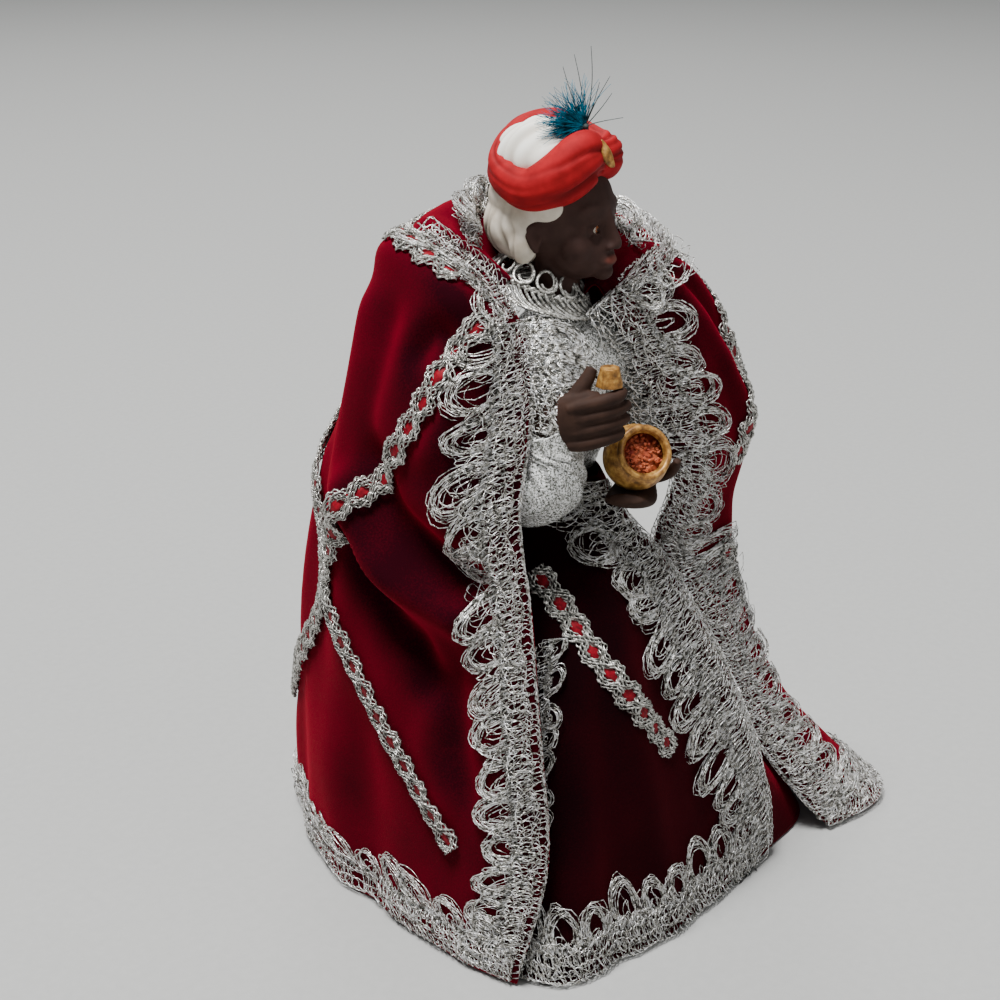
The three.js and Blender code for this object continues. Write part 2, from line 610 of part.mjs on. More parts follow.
const FRILL = [
  [[-26, -10, 262], [-32, 0, 269], [-29, 13, 273], [-17, 24, 273], [0, 30, 269], [16, 27, 262],
    [26, 18, 256], [27, 9, 252]],
  [[-24, -8, 250], [-27, 2, 252], [-25, 11, 252], [-15, 20, 252], [0, 24, 250], [13, 21, 248],
    [21, 14, 246], [21, 8, 244]],
];
group.add(shell("collar_lace", cloth(FRILL), 18, 2, 1, 0, 1, LACE));

// Ribbon braids laid over the velvet
const braids = [
  ["braid_right_front", right, 1, [[0.19, 0.17], [0.25, 0.26], [0.32, 0.36], [0.4, 0.45], [0.45, 0.53],
    [0.475, 0.62], [0.53, 0.71], [0.6, 0.79], [0.66, 0.85]], () => 0],
  ["braid_right_back", right, 1, [[0.85, 0.2], [0.76, 0.3], [0.67, 0.42], [0.57, 0.52], [0.465, 0.615],
    [0.36, 0.69], [0.26, 0.77], [0.19, 0.835]], (x) => 1.5 * Math.exp(-(((x - 0.57) / 0.15) ** 4))],
  ["braid_right_neck", right, 1, [[0.85, 0.06], [0.7, 0.06], [0.5, 0.065], [0.36, 0.07], [0.22, 0.08]], () => 0],
  ["braid_left_front", left, -1, [[0.62, 0.1], [0.56, 0.22], [0.5, 0.34], [0.42, 0.42], [0.36, 0.47]], () => 0],
  ["braid_left_back", left, -1, [[0.4, 0.62], [0.5, 0.7], [0.6, 0.77]], () => 0],
  ["braid_robe", robe, -1, [[0.222, 0.61], [0.195, 0.56], [0.158, 0.485], [0.12, 0.4]], () => -CLOTH / 2],
];
for (const [name, surface, side, path, lift] of braids) {
  group.add(braid(name, surface, path, side, LACE, BRAID_WIDTH, lift));
}

// Recentring on the middle of the base
for (const mesh of group.children) {
  mesh.geometry.translate(CENTRE[0], CENTRE[1], 0);
}

export default group;
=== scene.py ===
import math
import random

import bpy
import numpy as np
from mathutils import Matrix, Vector


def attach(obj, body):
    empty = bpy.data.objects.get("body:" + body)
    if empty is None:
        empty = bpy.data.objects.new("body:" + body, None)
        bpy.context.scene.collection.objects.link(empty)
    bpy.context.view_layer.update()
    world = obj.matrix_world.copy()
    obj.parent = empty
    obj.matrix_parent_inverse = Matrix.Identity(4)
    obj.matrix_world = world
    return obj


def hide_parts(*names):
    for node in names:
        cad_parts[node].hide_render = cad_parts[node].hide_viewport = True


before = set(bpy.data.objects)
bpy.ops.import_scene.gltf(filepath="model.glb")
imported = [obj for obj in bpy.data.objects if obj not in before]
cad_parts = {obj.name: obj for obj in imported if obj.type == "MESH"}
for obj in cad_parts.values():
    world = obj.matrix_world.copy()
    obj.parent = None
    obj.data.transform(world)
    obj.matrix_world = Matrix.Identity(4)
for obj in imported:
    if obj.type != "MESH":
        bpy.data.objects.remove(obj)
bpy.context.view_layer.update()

bl_info = {
    "name": "Dressed crib figure",
    "version": (1, 0, 0),
    "blender": (4, 5, 0),
    "location": "View3D > Sidebar > Crib figure",
    "description": "Builds a crib wise man: painted clay head and hands, velvet, metal lace and braid",
    "category": "Object",
}

MM = 0.001
THREAD_FLOOR = 0.2
CLOTH_FLOOR = 0.7
FULL_TURN = 2 * math.pi
ANY_ANGLE = 6.28

# Laying out
# Points are across, away and up in mm, in axes turned an eighth of a turn from the front, with their
# origin at CENTRE in the frame.
TURN = math.pi / 4
CENTRE = (-42.54, -33.76)


def level(height, *spots):
    """A row of a net whose points are all at one height."""
    return [[across, away, height] for across, away in spots]


# The cape's right half: rows from the neck to the hem, each from the front edge round to the rear edge
RIGHT_NET = [
    [[-18, -15, 240], [-24, -14, 246], [-32, -12, 252], [-40, -8, 257], [-46, -1, 260],
     [-46, 5, 261], [-42, 11, 262], [-37, 17, 263], [-32, 22, 263], [-27, 26, 264]],
    [[-10, -27, 225], [-20, -32, 230], [-34, -33, 237], [-47, -26, 243], [-57, -13, 246],
     [-61, 1, 244], [-59, 14, 243], [-52, 26, 243], [-41, 34, 245], [-29, 36, 246]],
    [[-9, -41, 200], [-22, -43, 202], [-38, -42, 204], [-53, -34, 206], [-65, -21, 207],
     [-71, -3, 206], [-72, 14, 205], [-66, 32, 205], [-50, 44, 205], [-31, 46, 205]],
    level(171, (-12, -50), (-26, -49), (-42, -46), (-59, -34), (-73, -15), (-80, 4), (-82, 24), (-75, 43),
          (-56, 56), (-30, 58)),
    level(137, (-7, -58), (-24, -50), (-40, -41), (-61, -30), (-78, -10), (-87, 15), (-91, 34), (-84, 56),
          (-60, 69), (-26, 71)),
    level(90, (-3, -66), (-25, -56), (-45, -43), (-66, -26), (-84, -3), (-95, 22), (-98, 49), (-89, 72),
          (-58, 83), (-20, 84)),
    level(46, (-1, -71), (-25, -60), (-48, -41), (-69, -22), (-88, -2), (-99, 27), (-103, 60), (-89, 84),
          (-54, 96), (-14, 97)),
    level(0.8, (-11, -74), (-32, -61), (-52, -42), (-70, -26), (-87, -3), (-99, 30), (-103, 66), (-89, 92),
          (-52, 104), (-12, 105)),
]

# The left half, thrown open over the left arm
LEFT_NET = [
    [[16, -5, 236], [23, 3, 243], [31, 12, 247], [34, 21, 249], [26, 31, 254], [5, 36, 260], [-21, 32, 264]],
    [[22, -4, 225], [32, 4, 228], [44, 14, 232], [49, 26, 234], [40, 38, 236], [12, 45, 240], [-20, 43, 243]],
    [[32, 4, 200], [45, 10, 203], [56, 20, 207], [61, 32, 210], [55, 46, 212], [30, 55, 213], [-10, 54, 214]],
    [[44, 12, 165], [56, 17, 168], [66, 28, 172], [72, 40, 176], [68, 54, 178], [50, 62, 181], [22, 62, 184]],
    [[38, 18, 128], [49, 22, 131], [60, 32, 134], [68, 44, 138], [70, 56, 141], [62, 64, 144], [48, 66, 147]],
    [[59, 23, 97], [65, 28, 98], [70, 38, 100], [71, 50, 102], [68, 62, 104], [62, 70, 105], [56, 73, 106]],
    [[78, 28, 52], [85, 33, 52], [92, 42, 52], [95, 55, 53], [91, 68, 54], [84, 76, 55], [76, 79, 55]],
    [[114, 34, 0.8], [126, 42, 0.8], [138, 55, 0.8], [140, 70, 0.8], [130, 84, 0.8], [114, 90, 0.8],
     [98, 90, 0.8]],
]

# The robe's rings from the floor up, each from the front edge round
ROBE_NET = [
    level(0, (87, 16), (62, -20), (34, -52), (4, -74), (-22, -60), (-58, -22), (-76, 22), (-62, 70),
          (-10, 86), (50, 88), (90, 76), (104, 46)),
    level(22, (85, 13), (60, -20), (32, -50), (5, -70), (-22, -55), (-54, -22), (-71, 20), (-60, 64),
          (-10, 80), (46, 80), (82, 66), (92, 38)),
    level(50, (79, 9), (55, -22), (30, -48), (6, -62), (-20, -50), (-50, -22), (-66, 16), (-56, 56),
          (-10, 70), (38, 68), (64, 50), (72, 26)),
    level(86, (66, 0), (46, -24), (27, -44), (6, -53), (-17, -44), (-42, -22), (-56, 10), (-50, 44),
          (-10, 56), (28, 52), (46, 36), (54, 16)),
    level(115, (53, -6), (38, -25), (23, -38), (5, -43), (-14, -37), (-34, -20), (-44, 6), (-40, 32),
          (-10, 42), (18, 38), (33, 24), (42, 8)),
    level(140, (39, -12), (29, -22), (17, -28), (3, -30), (-13, -27), (-26, -16), (-32, 4), (-28, 24),
          (-8, 31), (12, 27), (22, 15), (30, 2)),
    level(160, (24, -15), (18, -17), (9, -17), (0, -17), (-10, -17), (-20, -12), (-25, 3), (-21, 18),
          (-6, 24), (9, 20), (16, 10), (21, -3)),
    level(172, (15, -11), (11, -13), (5, -14), (-2, -14), (-9, -13), (-15, -9), (-18, 3), (-16, 13),
          (-5, 18), (7, 15), (12, 7), (15, -3)),
]

# Folds pressed into the cloth: a path of places on it, the fold's half width and its height in mm
RIGHT_FOLDS = [
    ([[0.43, 0.44], [0.37, 0.515], [0.3, 0.553], [0.24, 0.575], [0.17, 0.59]], 7.0, 9.5),
    ([[0.4, 0.53], [0.36, 0.585], [0.307, 0.618], [0.253, 0.635], [0.215, 0.665]], 6.5, -9.5),
    ([[0.37, 0.38], [0.327, 0.437], [0.26, 0.483], [0.203, 0.517], [0.147, 0.533]], 6.5, -9.0),
    ([[0.215, 0.63], [0.21, 0.697], [0.213, 0.75], [0.177, 0.81]], 6.5, 3.0),
    ([[0.17, 0.64], [0.155, 0.713], [0.13, 0.787]], 5.0, -3.0),
    ([[0.36, 0.76], [0.35, 0.84], [0.34, 0.92], [0.33, 1.0]], 12.0, -3.0),
    ([[0.3, 0.22], [0.25, 0.18], [0.21, 0.2]], 5.0, -5.0),
    ([[0.17, 0.2], [0.2, 0.27], [0.24, 0.34]], 6.0, 4.0),
    ([[0.52, 0.11], [0.4, 0.1], [0.3, 0.1], [0.22, 0.11]], 7.0, 4.0),
    ([[0.5, 0.2], [0.52, 0.3], [0.5, 0.4], [0.45, 0.5]], 8.0, 4.0),
    ([[0.4, 0.2], [0.42, 0.3], [0.4, 0.38]], 6.0, -3.0),
    ([[0.72, 0.25], [0.76, 0.5], [0.74, 0.75], [0.76, 1.0]], 9.0, -4.0),
    ([[0.87, 0.2], [0.88, 0.5], [0.9, 0.8], [0.88, 1.0]], 9.0, 3.0),
    ([[0.62, 0.45], [0.6, 0.7], [0.62, 1.0]], 9.0, 2.5),
]
LEFT_FOLDS = [
    ([[0.3, 0.06], [0.36, 0.2], [0.4, 0.32], [0.42, 0.42]], 3.6, 3.0),
    ([[0.38, 0.06], [0.44, 0.2], [0.48, 0.34]], 3.2, -3.5),
    ([[0.46, 0.1], [0.52, 0.24], [0.55, 0.36]], 3.6, 3.0),
    ([[0.44, 0.3], [0.46, 0.5], [0.5, 0.8]], 6.0, 2.0),
    ([[0.7, 0.3], [0.68, 0.6], [0.7, 1.0]], 7.0, -3.0),
]
ROBE_FOLDS = [
    ([[0.13, 0.02], [0.15, 0.4], [0.17, 0.75]], 7.0, 2.2),
    ([[0.19, 0.02], [0.2, 0.4], [0.2, 0.7]], 6.0, -2.0),
    ([[0.4, 0.0], [0.42, 0.6]], 10.0, 3.0),
    ([[0.6, 0.0], [0.58, 0.6]], 10.0, -3.0),
    ([[0.8, 0.0], [0.78, 0.6]], 10.0, 3.0),
]


def spline_shares(count, places, closed=False):
    """Shares of a list's values, one row for each place from 0 to 1 along a smooth curve through them."""
    spans = count if closed else count - 1
    rows = np.zeros((len(places), count))
    for row, place in zip(rows, places):
        x = (place % 1) * spans if closed else min(max(place, 0), 1) * spans
        i = min(int(x), spans - 1)
        t = x - i
        basis = (-t + 2 * t**2 - t**3, 2 - 5 * t**2 + 3 * t**3, t + 4 * t**2 - 3 * t**3, -t**2 + t**3)
        for k, share in zip(range(i - 1, i + 3), basis):
            if closed:
                row[k % count] += share / 2
            elif k < 0:
                row[0] += share
                row[1] -= share / 2
            elif k >= count:
                row[-1] += share
                row[-2] -= share / 2
            else:
                row[k] += share / 2
    return rows


def smooth_line(points, count):
    """A smooth line of count points through a short list."""
    points = np.array(points, float)
    return spline_shares(len(points), np.linspace(0, 1, count)) @ points


def in_frame(points):
    """Across, away and up to the frame's X, Y and Z, all in mm."""
    points = np.asarray(points, float)
    across, away, up = points[..., 0], points[..., 1], points[..., 2]
    c, s = math.cos(TURN), math.sin(TURN)
    return np.stack([c * across + s * away + CENTRE[0], c * away - s * across + CENTRE[1], up], axis=-1)


def unit(vectors):
    """Vectors brought to a length of 1."""
    return vectors / np.maximum(np.linalg.norm(vectors, axis=-1, keepdims=True), 1e-9)


def turns(count):
    """Angles spread evenly round a circle."""
    return np.arange(count) * FULL_TURN / count


def grid_faces(rows, columns, wrap=True, loop=False, first=0):
    """Quads over a grid of points; wrap joins its last column to its first, and loop its last row."""
    faces = []
    for i in range(rows if loop else rows - 1):
        here, under = first + i * columns, first + (i + 1) % rows * columns
        for k in range(columns if wrap else columns - 1):
            after = (k + 1) % columns
            faces.append([here + k, here + after, under + after, under + k])
    return faces


def tube_points(centre, going, wide, high, around):
    """Rings of points round a line, with half sizes across it and up for every ring or point."""
    side = unit(np.cross(going, [0, 0, 1.0]))
    rise = np.cross(side, going)
    angles = turns(around)
    across = side[:, None] * (np.cos(angles) * wide)[..., None]
    up = rise[:, None] * (np.sin(angles) * high)[..., None]
    return (centre[:, None] + (across + up)).reshape(-1, 3)


def cap_faces(rows, around, foot, head):
    """Triangles that close both ends of a tube to two extra points."""
    last = (rows - 1) * around
    faces = []
    for k in range(around):
        after = (k + 1) % around
        faces.append([after, k, foot])
        faces.append([last + k, last + after, head])
    return faces


class Cloth:
    """A smooth cloth through a net, with its folds, read at places from 0 to 1 along both of its sides."""

    def __init__(self, net, columns, rows, side, folds=(), closed=False, crumple=0.0, seed=1):
        net = np.array(net, float)
        across = spline_shares(net.shape[1], np.linspace(0, 1, columns + 1), closed)
        down = spline_shares(net.shape[0], np.linspace(0, 1, rows + 1))
        self.columns, self.rows, self.side, self.closed = columns, rows, side, closed
        self.points = in_frame(np.einsum("ir,rck,jc->ijk", down, net, across))
        self.face_out()
        for path, width, height in folds:
            self.press_fold(path, width, height)
        if folds and not closed:
            self.soften(4)
        if crumple:
            self.press_crumple(crumple, seed)
        self.points[..., 2] = np.maximum(self.points[..., 2], CLOTH_FLOOR)
        self.face_out()

    def face_out(self):
        """Works out which way the cloth faces at every point."""
        points = self.points
        if self.closed:
            wide = np.concatenate([points[:, -2:-1], points, points[:, 1:2]], axis=1)
            along = np.gradient(wide, axis=1)[:, 1:-1]
        else:
            along = np.gradient(points, axis=1)
        self.normals = unit(np.cross(along, np.gradient(points, axis=0))) * self.side

    def press_fold(self, path, width, height):
        """Raises or sinks a rounded fold along a path."""
        line = smooth_line(path, 60)
        spots = self.on(line[:, 0], line[:, 1], 0)
        away = np.full(self.points.shape[:2], np.inf)
        for spot in spots:
            away = np.minimum(away, np.linalg.norm(self.points - spot, axis=-1))
        self.points = self.points + self.normals * (height * np.exp(-((away / width) ** 2)))[..., None]

    def soften(self, times):
        """Evens the cloth out between its edges."""
        for _ in range(times):
            old = self.points
            neighbours = old[2:, 1:-1] + old[:-2, 1:-1] + old[1:-1, 2:] + old[1:-1, :-2]
            self.points = old.copy()
            self.points[1:-1, 1:-1] = (old[1:-1, 1:-1] * 2 + neighbours) / 6

    def press_crumple(self, height, seed):
        """Adds low waves that run every way."""
        dice = random.Random(seed)
        total = np.zeros(self.points.shape[:2])
        for _ in range(10):
            wave = np.array([dice.gauss(0, 1), dice.gauss(0, 1), dice.gauss(0, 0.5)])
            wave *= FULL_TURN / (np.linalg.norm(wave) * dice.uniform(24, 60))
            total += np.sin(self.points @ wave + dice.uniform(0, ANY_ANGLE))
        self.points = self.points + self.normals * (height * total / 3)[..., None]

    def read(self, grid, s, t):
        """Values of a grid at places on the cloth, carried on straight past its edges."""
        x = np.asarray(s, float) * self.columns
        y = np.asarray(t, float) * self.rows
        if self.closed:
            x = x % self.columns
        i = np.clip(np.floor(x).astype(int), 0, self.columns - 1)
        j = np.clip(np.floor(y).astype(int), 0, self.rows - 1)
        a, b = (x - i)[..., None], (y - j)[..., None]
        top = grid[j, i] * (1 - a) + grid[j, i + 1] * a
        low = grid[j + 1, i] * (1 - a) + grid[j + 1, i + 1] * a
        return top * (1 - b) + low * b

    def facing(self, s, t):
        """The cloth's outward directions at places on it."""
        return unit(self.read(self.normals, s if self.closed else np.clip(s, 0, 1), np.clip(t, 0, 1)))

    def on(self, s, t, lift):
        """Spots on the cloth, or a little past its edges, lifted off it by some mm."""
        return self.read(self.points, s, t) + self.facing(s, t) * np.asarray(lift, float)[..., None]


class Run:
    """A line on a cloth, for threads laid by mm along it, mm beside it and mm above it."""

    def __init__(self, cloth, path, toward=None):
        self.cloth = cloth
        self.place = smooth_line(path, 300)
        s, t = self.place.T
        here = cloth.on(s, t, 0)
        self.along = np.concatenate([[0], np.cumsum(np.linalg.norm(np.diff(here, axis=0), axis=1))])
        self.length = self.along[-1]
        sideways = unit(np.cross(cloth.facing(s, t), unit(np.gradient(here, axis=0))))
        h = 0.01
        du = (cloth.on(s + h, t, 0) - cloth.on(s - h, t, 0)) / (2 * h)
        dv = (cloth.on(s, t + h, 0) - cloth.on(s, t - h, 0)) / (2 * h)
        aa, ab, bb = (du * du).sum(1), (du * dv).sum(1), (dv * dv).sum(1)
        ra, rb = (du * sideways).sum(1), (dv * sideways).sum(1)
        det = aa * bb - ab * ab
        self.step = np.stack([(ra * bb - rb * ab) / det, (rb * aa - ra * ab) / det], axis=1)
        if toward is not None and (self.step * (np.array(toward) - self.place)).sum() < 0:
            self.step = -self.step

    def lay(self, line):
        """Spots and outward directions for points given along, beside and above the run."""
        x, y, z = np.asarray(line, float).T
        s = np.interp(x, self.along, self.place[:, 0]) + y * np.interp(x, self.along, self.step[:, 0])
        t = np.interp(x, self.along, self.place[:, 1]) + y * np.interp(x, self.along, self.step[:, 1])
        return self.cloth.on(s, t, z), self.cloth.facing(s, t)


class Threads:
    """Fine round threads gathered into one mesh."""

    def __init__(self, sides=3):
        self.sides = sides
        self.points = []
        self.walls = []
        self.ends = []
        self.total = 0

    def add(self, line, facing, radius):
        """Adds one thread along a line of spots, with one radius or one for each spot."""
        going = unit(np.gradient(line, axis=0))
        across = unit(np.cross(going, facing))
        rise = np.cross(across, going)
        angles = turns(self.sides)
        size = np.broadcast_to(np.asarray(radius, float), (len(line),))[:, None, None]
        ring = across[:, None] * np.cos(angles)[None, :, None] + rise[:, None] * np.sin(angles)[None, :, None]
        self.points.append((line[:, None] + ring * size).reshape(-1, 3))
        first = self.total + np.arange(len(line) - 1)[:, None] * self.sides
        k = np.arange(self.sides)[None]
        after = (k + 1) % self.sides
        quads = np.stack([first + k, first + self.sides + k, first + self.sides + after, first + after], -1)
        self.walls.append(quads.reshape(-1, 4))
        self.ends.append(list(range(self.total, self.total + self.sides)))
        last = self.total + (len(line) - 1) * self.sides
        self.ends.append(list(range(last + self.sides - 1, last - 1, -1)))
        self.total += len(line) * self.sides

    def piece(self, name):
        """All the threads as one object."""
        faces = np.concatenate(self.walls).tolist() + self.ends
        points = np.concatenate(self.points)
        points[:, 2] = np.maximum(points[:, 2], THREAD_FLOOR)
        return new_piece(name, points, faces)


def new_piece(name, points, faces):
    """A mesh object from points in mm."""
    mesh = bpy.data.meshes.new(name)
    mesh.from_pydata((np.asarray(points) * MM).tolist(), [], faces)
    mesh.update()
    piece = bpy.data.objects.new(name, mesh)
    bpy.context.scene.collection.objects.link(piece)
    return smooth(piece)


def smooth(piece):
    """Shades a piece smoothly."""
    piece.data.polygons.foreach_set("use_smooth", [True] * len(piece.data.polygons))
    return piece


def select(pieces):
    """Selects some pieces and makes the first the active one."""
    bpy.ops.object.select_all(action="DESELECT")
    for piece in pieces:
        piece.select_set(True)
    bpy.context.view_layer.objects.active = pieces[0]


def apply_modifier(piece, kind, **settings):
    """Works a modifier into a piece's mesh."""
    select([piece])
    modifier = piece.modifiers.new(kind.title(), kind)
    for name, value in settings.items():
        setattr(modifier, name, value)
    bpy.ops.object.modifier_apply(modifier=modifier.name)


def joined(name, pieces):
    """Joins pieces into one object, keeping their materials."""
    select(pieces)
    bpy.ops.object.join()
    piece = bpy.context.object
    piece.name = name
    return piece


def settle(piece, turn=None):
    """Takes a piece modelled in mm to its place in the frame, in metres."""
    piece.data.transform(Matrix.Scale(MM, 4) @ (turn or Matrix()) @ piece.matrix_basis)
    piece.matrix_basis = Matrix()
    return piece


def finish(piece, slot, *nodes):
    """Rides a piece on the figure, in place of its nodes."""
    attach(piece, "root")
    if nodes:
        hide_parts(*nodes)
    return piece


def ball(centre, half, turn=(0, 0, 0), segments=32):
    """A round lump of clay, in mm."""
    bpy.ops.object.select_all(action="DESELECT")
    bpy.ops.mesh.primitive_uv_sphere_add(
        segments=segments, ring_count=segments // 2, radius=1, location=centre, rotation=turn, scale=half
    )
    piece = bpy.context.object
    bpy.ops.object.transform_apply(location=True, rotation=True, scale=True)
    return piece


def roll(line, steps=16, around=14):
    """A rolled length of clay through points [x, y, z, half width, half height], in mm."""
    values = smooth_line(line, steps)
    centre = values[:, :3]
    going = unit(np.gradient(centre, axis=0))
    points = tube_points(centre, going, values[:, 3:4], values[:, 4:5], around)
    points = np.concatenate([points, centre[:1] - going[:1] * 0.3, centre[-1:] + going[-1:] * 0.3])
    faces = grid_faces(steps, around) + cap_faces(steps, around, steps * around, steps * around + 1)
    mesh = bpy.data.meshes.new("roll")
    mesh.from_pydata(points.tolist(), [], faces)
    piece = bpy.data.objects.new("roll", mesh)
    bpy.context.scene.collection.objects.link(piece)
    return piece


def modelled(name, lumps, grain, smoothing):
    """Lumps of clay worked into one smooth body, with a mesh of the given grain in mm."""
    piece = joined(name, lumps)
    apply_modifier(piece, "REMESH", mode="VOXEL", voxel_size=grain)
    apply_modifier(piece, "SMOOTH", factor=0.5, iterations=smoothing)
    return smooth(piece)


def coordinates(piece):
    """The places of a piece's points, one row each."""
    values = np.empty(len(piece.data.vertices) * 3)
    piece.data.vertices.foreach_get("co", values)
    return values.reshape(-1, 3)


def reshape(piece, points):
    """Gives a piece's points new places."""
    piece.data.vertices.foreach_set("co", points.ravel())
    piece.data.update()


def pressed(points, centre, reach, push):
    """Points moved by a soft thumb press."""
    near = np.exp(-((((points - np.array(centre)) / np.array(reach)) ** 2).sum(axis=1)))
    return points + near[:, None] * np.array(push, float)


def paint(piece, name, values):
    """Stores a painted mask on the piece."""
    attribute = piece.data.attributes.new(name, "FLOAT", "POINT")
    attribute.data.foreach_set("value", np.asarray(values, float))


# Materials

def linear(colour):
    """An sRGB hex colour as linear red, green, blue and alpha."""
    parts = [int(colour[k:k + 2], 16) / 255 for k in (1, 3, 5)]
    return [p / 12.92 if p <= 0.04045 else ((p + 0.055) / 1.055) ** 2.4 for p in parts] + [1.0]


def add_node(tree, kind, inputs=(), **settings):
    """Adds a node with its settings; an input that is a socket is linked."""
    node = tree.nodes.new(kind)
    for name, value in settings.items():
        setattr(node, name, value)
    for name, value in dict(inputs).items():
        if isinstance(value, bpy.types.NodeSocket):
            tree.links.new(value, node.inputs[name])
        else:
            node.inputs[name].default_value = value
    return node


def new_material(name):
    """A new material with its node tree and the object's own coordinates."""
    material = bpy.data.materials.new(name)
    material.use_nodes = True
    tree = material.node_tree
    place = add_node(tree, "ShaderNodeTexCoord").outputs["Object"]
    return material, tree, place


def surface(material, tone, roughness, relief=None, settings=()):
    """Sets the shader's colour, roughness and relief, the last as strength, depth in mm and height."""
    tree = material.node_tree
    shader = tree.nodes["Principled BSDF"]
    tree.links.new(tone, shader.inputs["Base Color"])
    shader.inputs["Roughness"].default_value = roughness
    if relief:
        strength, depth, height = relief
        inputs = {"Strength": strength, "Distance": depth * MM, "Height": height}
        bump = add_node(tree, "ShaderNodeBump", inputs)
        tree.links.new(bump.outputs["Normal"], shader.inputs["Normal"])
    for name, value in dict(settings).items():
        shader.inputs[name].default_value = value
    return material


def mixed(tree, first, second, share=1.0, blend="MIX"):
    """Two colours mixed by a share, which may be a socket; the second may be a plain colour."""
    node = add_node(tree, "ShaderNodeMix", data_type="RGBA", blend_type=blend)
    for name, value in (("Factor", share), ("A", first), ("B", second)):
        if isinstance(value, bpy.types.NodeSocket):
            tree.links.new(value, node.inputs[name])
        else:
            node.inputs[name].default_value = value
    return node.outputs["Result"]


def colour_ramp(tree, value, stops):
    """A ramp between colours at places from 0 to 1."""
    ramp = add_node(tree, "ShaderNodeValToRGB", {"Fac": value})
    elements = ramp.color_ramp.elements
    for element, (position, colour) in zip(elements, (stops[0], stops[-1])):
        element.position = position
        element.color = linear(colour)
    for position, colour in stops[1:-1]:
        elements.new(position).color = linear(colour)
    return ramp.outputs["Color"]


def noise(tree, place, size_mm, detail=2.0, roughness=0.5):
    """Noise whose patches are about size_mm across."""
    inputs = {"Vector": place, "Scale": 1 / (size_mm * MM), "Detail": detail, "Roughness": roughness}
    return add_node(tree, "ShaderNodeTexNoise", inputs).outputs["Fac"]


def velvet_material(name, deep, lit):
    """Cotton velvet: a dark ground with painted sheen, lighter where the cloth turns away from the camera, as
    at the edge of every fold.
    """
    material, tree, place = new_material(name)
    brushed = noise(tree, place, 26, 2.0, 0.4)
    tips = noise(tree, place, 0.7, 3.0, 0.7)
    # Painted sheen: the colour runs from the deep one where the cloth faces the camera to the lit one where
    # it turns away, broken up by the pile's noise.
    painted_sheen = add_node(tree, "ShaderNodeLayerWeight", {"Blend": 0.35}).outputs["Facing"]
    nap = add_node(tree, "ShaderNodeMath", {0: brushed, 1: tips}, operation="ADD").outputs["Value"]
    pile = add_node(tree, "ShaderNodeMath", {0: nap, 1: 0.4, 2: -0.2}, operation="MULTIPLY_ADD")
    whole = add_node(tree, "ShaderNodeMath", {0: painted_sheen, 1: pile.outputs["Value"]}, operation="ADD")
    ground = colour_ramp(tree, whole.outputs["Value"], [(0.2, deep), (1.0, lit)])
    return surface(material, ground, 0.95, (0.5, 0.35, tips), {
        "Specular IOR Level": 0.05,
        "Sheen Weight": 0.25,
        "Sheen Roughness": 0.3,
        "Sheen Tint": linear("#B0002A"),
    })


def thread_material(name, low, colour, high):
    """Metal thread: foil wound round a core, with painted glints and painted shade in random spots along it.
    """
    material, tree, place = new_material(name)
    turn = noise(tree, place, 1.6, 3.0, 0.7)
    # Painted light: the noise runs the colour from the low one, painted shade, to the high one, a painted
    # glint.
    tone = colour_ramp(tree, turn, [(0.39, low), (0.48, colour), (0.56, high)])
    return surface(material, tone, 0.2, (1.0, 0.5, turn), {"Metallic": 0.55})


def ribbon_material():
    """Satin ribbon: bright red with a soft gloss along its threads."""
    material, tree, place = new_material("satin ribbon")
    weave = noise(tree, place, 1.2, 2.0)
    tone = colour_ramp(tree, weave, [(0.3, "#5E0010"), (0.7, "#90001A")])
    return surface(material, tone, 0.6, (0.5, 0.2, weave), {"Specular IOR Level": 0.2})


def lame_material():
    """Lurex knit: fine silver loops with dark pinholes between them, and painted sparkle with painted shade
    in random spots.
    """
    material, tree, place = new_material("lurex knit")
    cells = add_node(tree, "ShaderNodeTexVoronoi", {"Vector": place, "Scale": 1 / (0.85 * MM)})
    painted_sparkle = noise(tree, place, 0.7, 3.0, 0.8)
    holes = colour_ramp(tree, cells.outputs["Distance"], [(0.2, "#4E4E4A"), (0.36, "#FFFFFF")])
    # Painted sparkle: fine noise runs the colour from dark grey, painted shade, to white, painted glints.
    tone = colour_ramp(tree, painted_sparkle, [(0.42, "#565650"), (0.5, "#CCCCC4"), (0.55, "#FFFFFF")])
    tone = mixed(tree, tone, holes, blend="MULTIPLY")
    return surface(material, tone, 0.25, (1.0, 0.5, painted_sparkle), {"Metallic": 0.5})


def clay_material(name, low, high, roughness=0.55, paint_and_shade_layers=(), grain=0.05):
    """Fired clay with matte paint, a little uneven from the brush; extra colours come as (mask, colour)
    pairs, for real paint such as the lips and for painted shade in grooves and creases.
    """
    material, tree, place = new_material(name)
    brush = noise(tree, place, 6, 4.0)
    tone = colour_ramp(tree, brush, [(0.3, low), (0.7, high)])
    for mask, colour in paint_and_shade_layers:
        share = add_node(tree, "ShaderNodeAttribute", attribute_name=mask).outputs["Fac"]
        tone = mixed(tree, tone, linear(colour), share)
    tooth = noise(tree, place, 0.8, 3.0)
    return surface(material, tone, roughness, (0.25, grain, tooth), {"Specular IOR Level": 0.18})


def gold_material():
    """Gold paint brushed on clay: dull metal flakes, darker and lighter at random."""
    material, tree, place = new_material("gold paint")
    brush = noise(tree, place, 2.5, 4.0, 0.6)
    tone = colour_ramp(tree, brush, [(0.32, "#5C3C16"), (0.5, "#98692E"), (0.7, "#CC9E52")])
    return surface(material, tone, 0.45, (0.4, 0.15, brush), {"Metallic": 0.3})


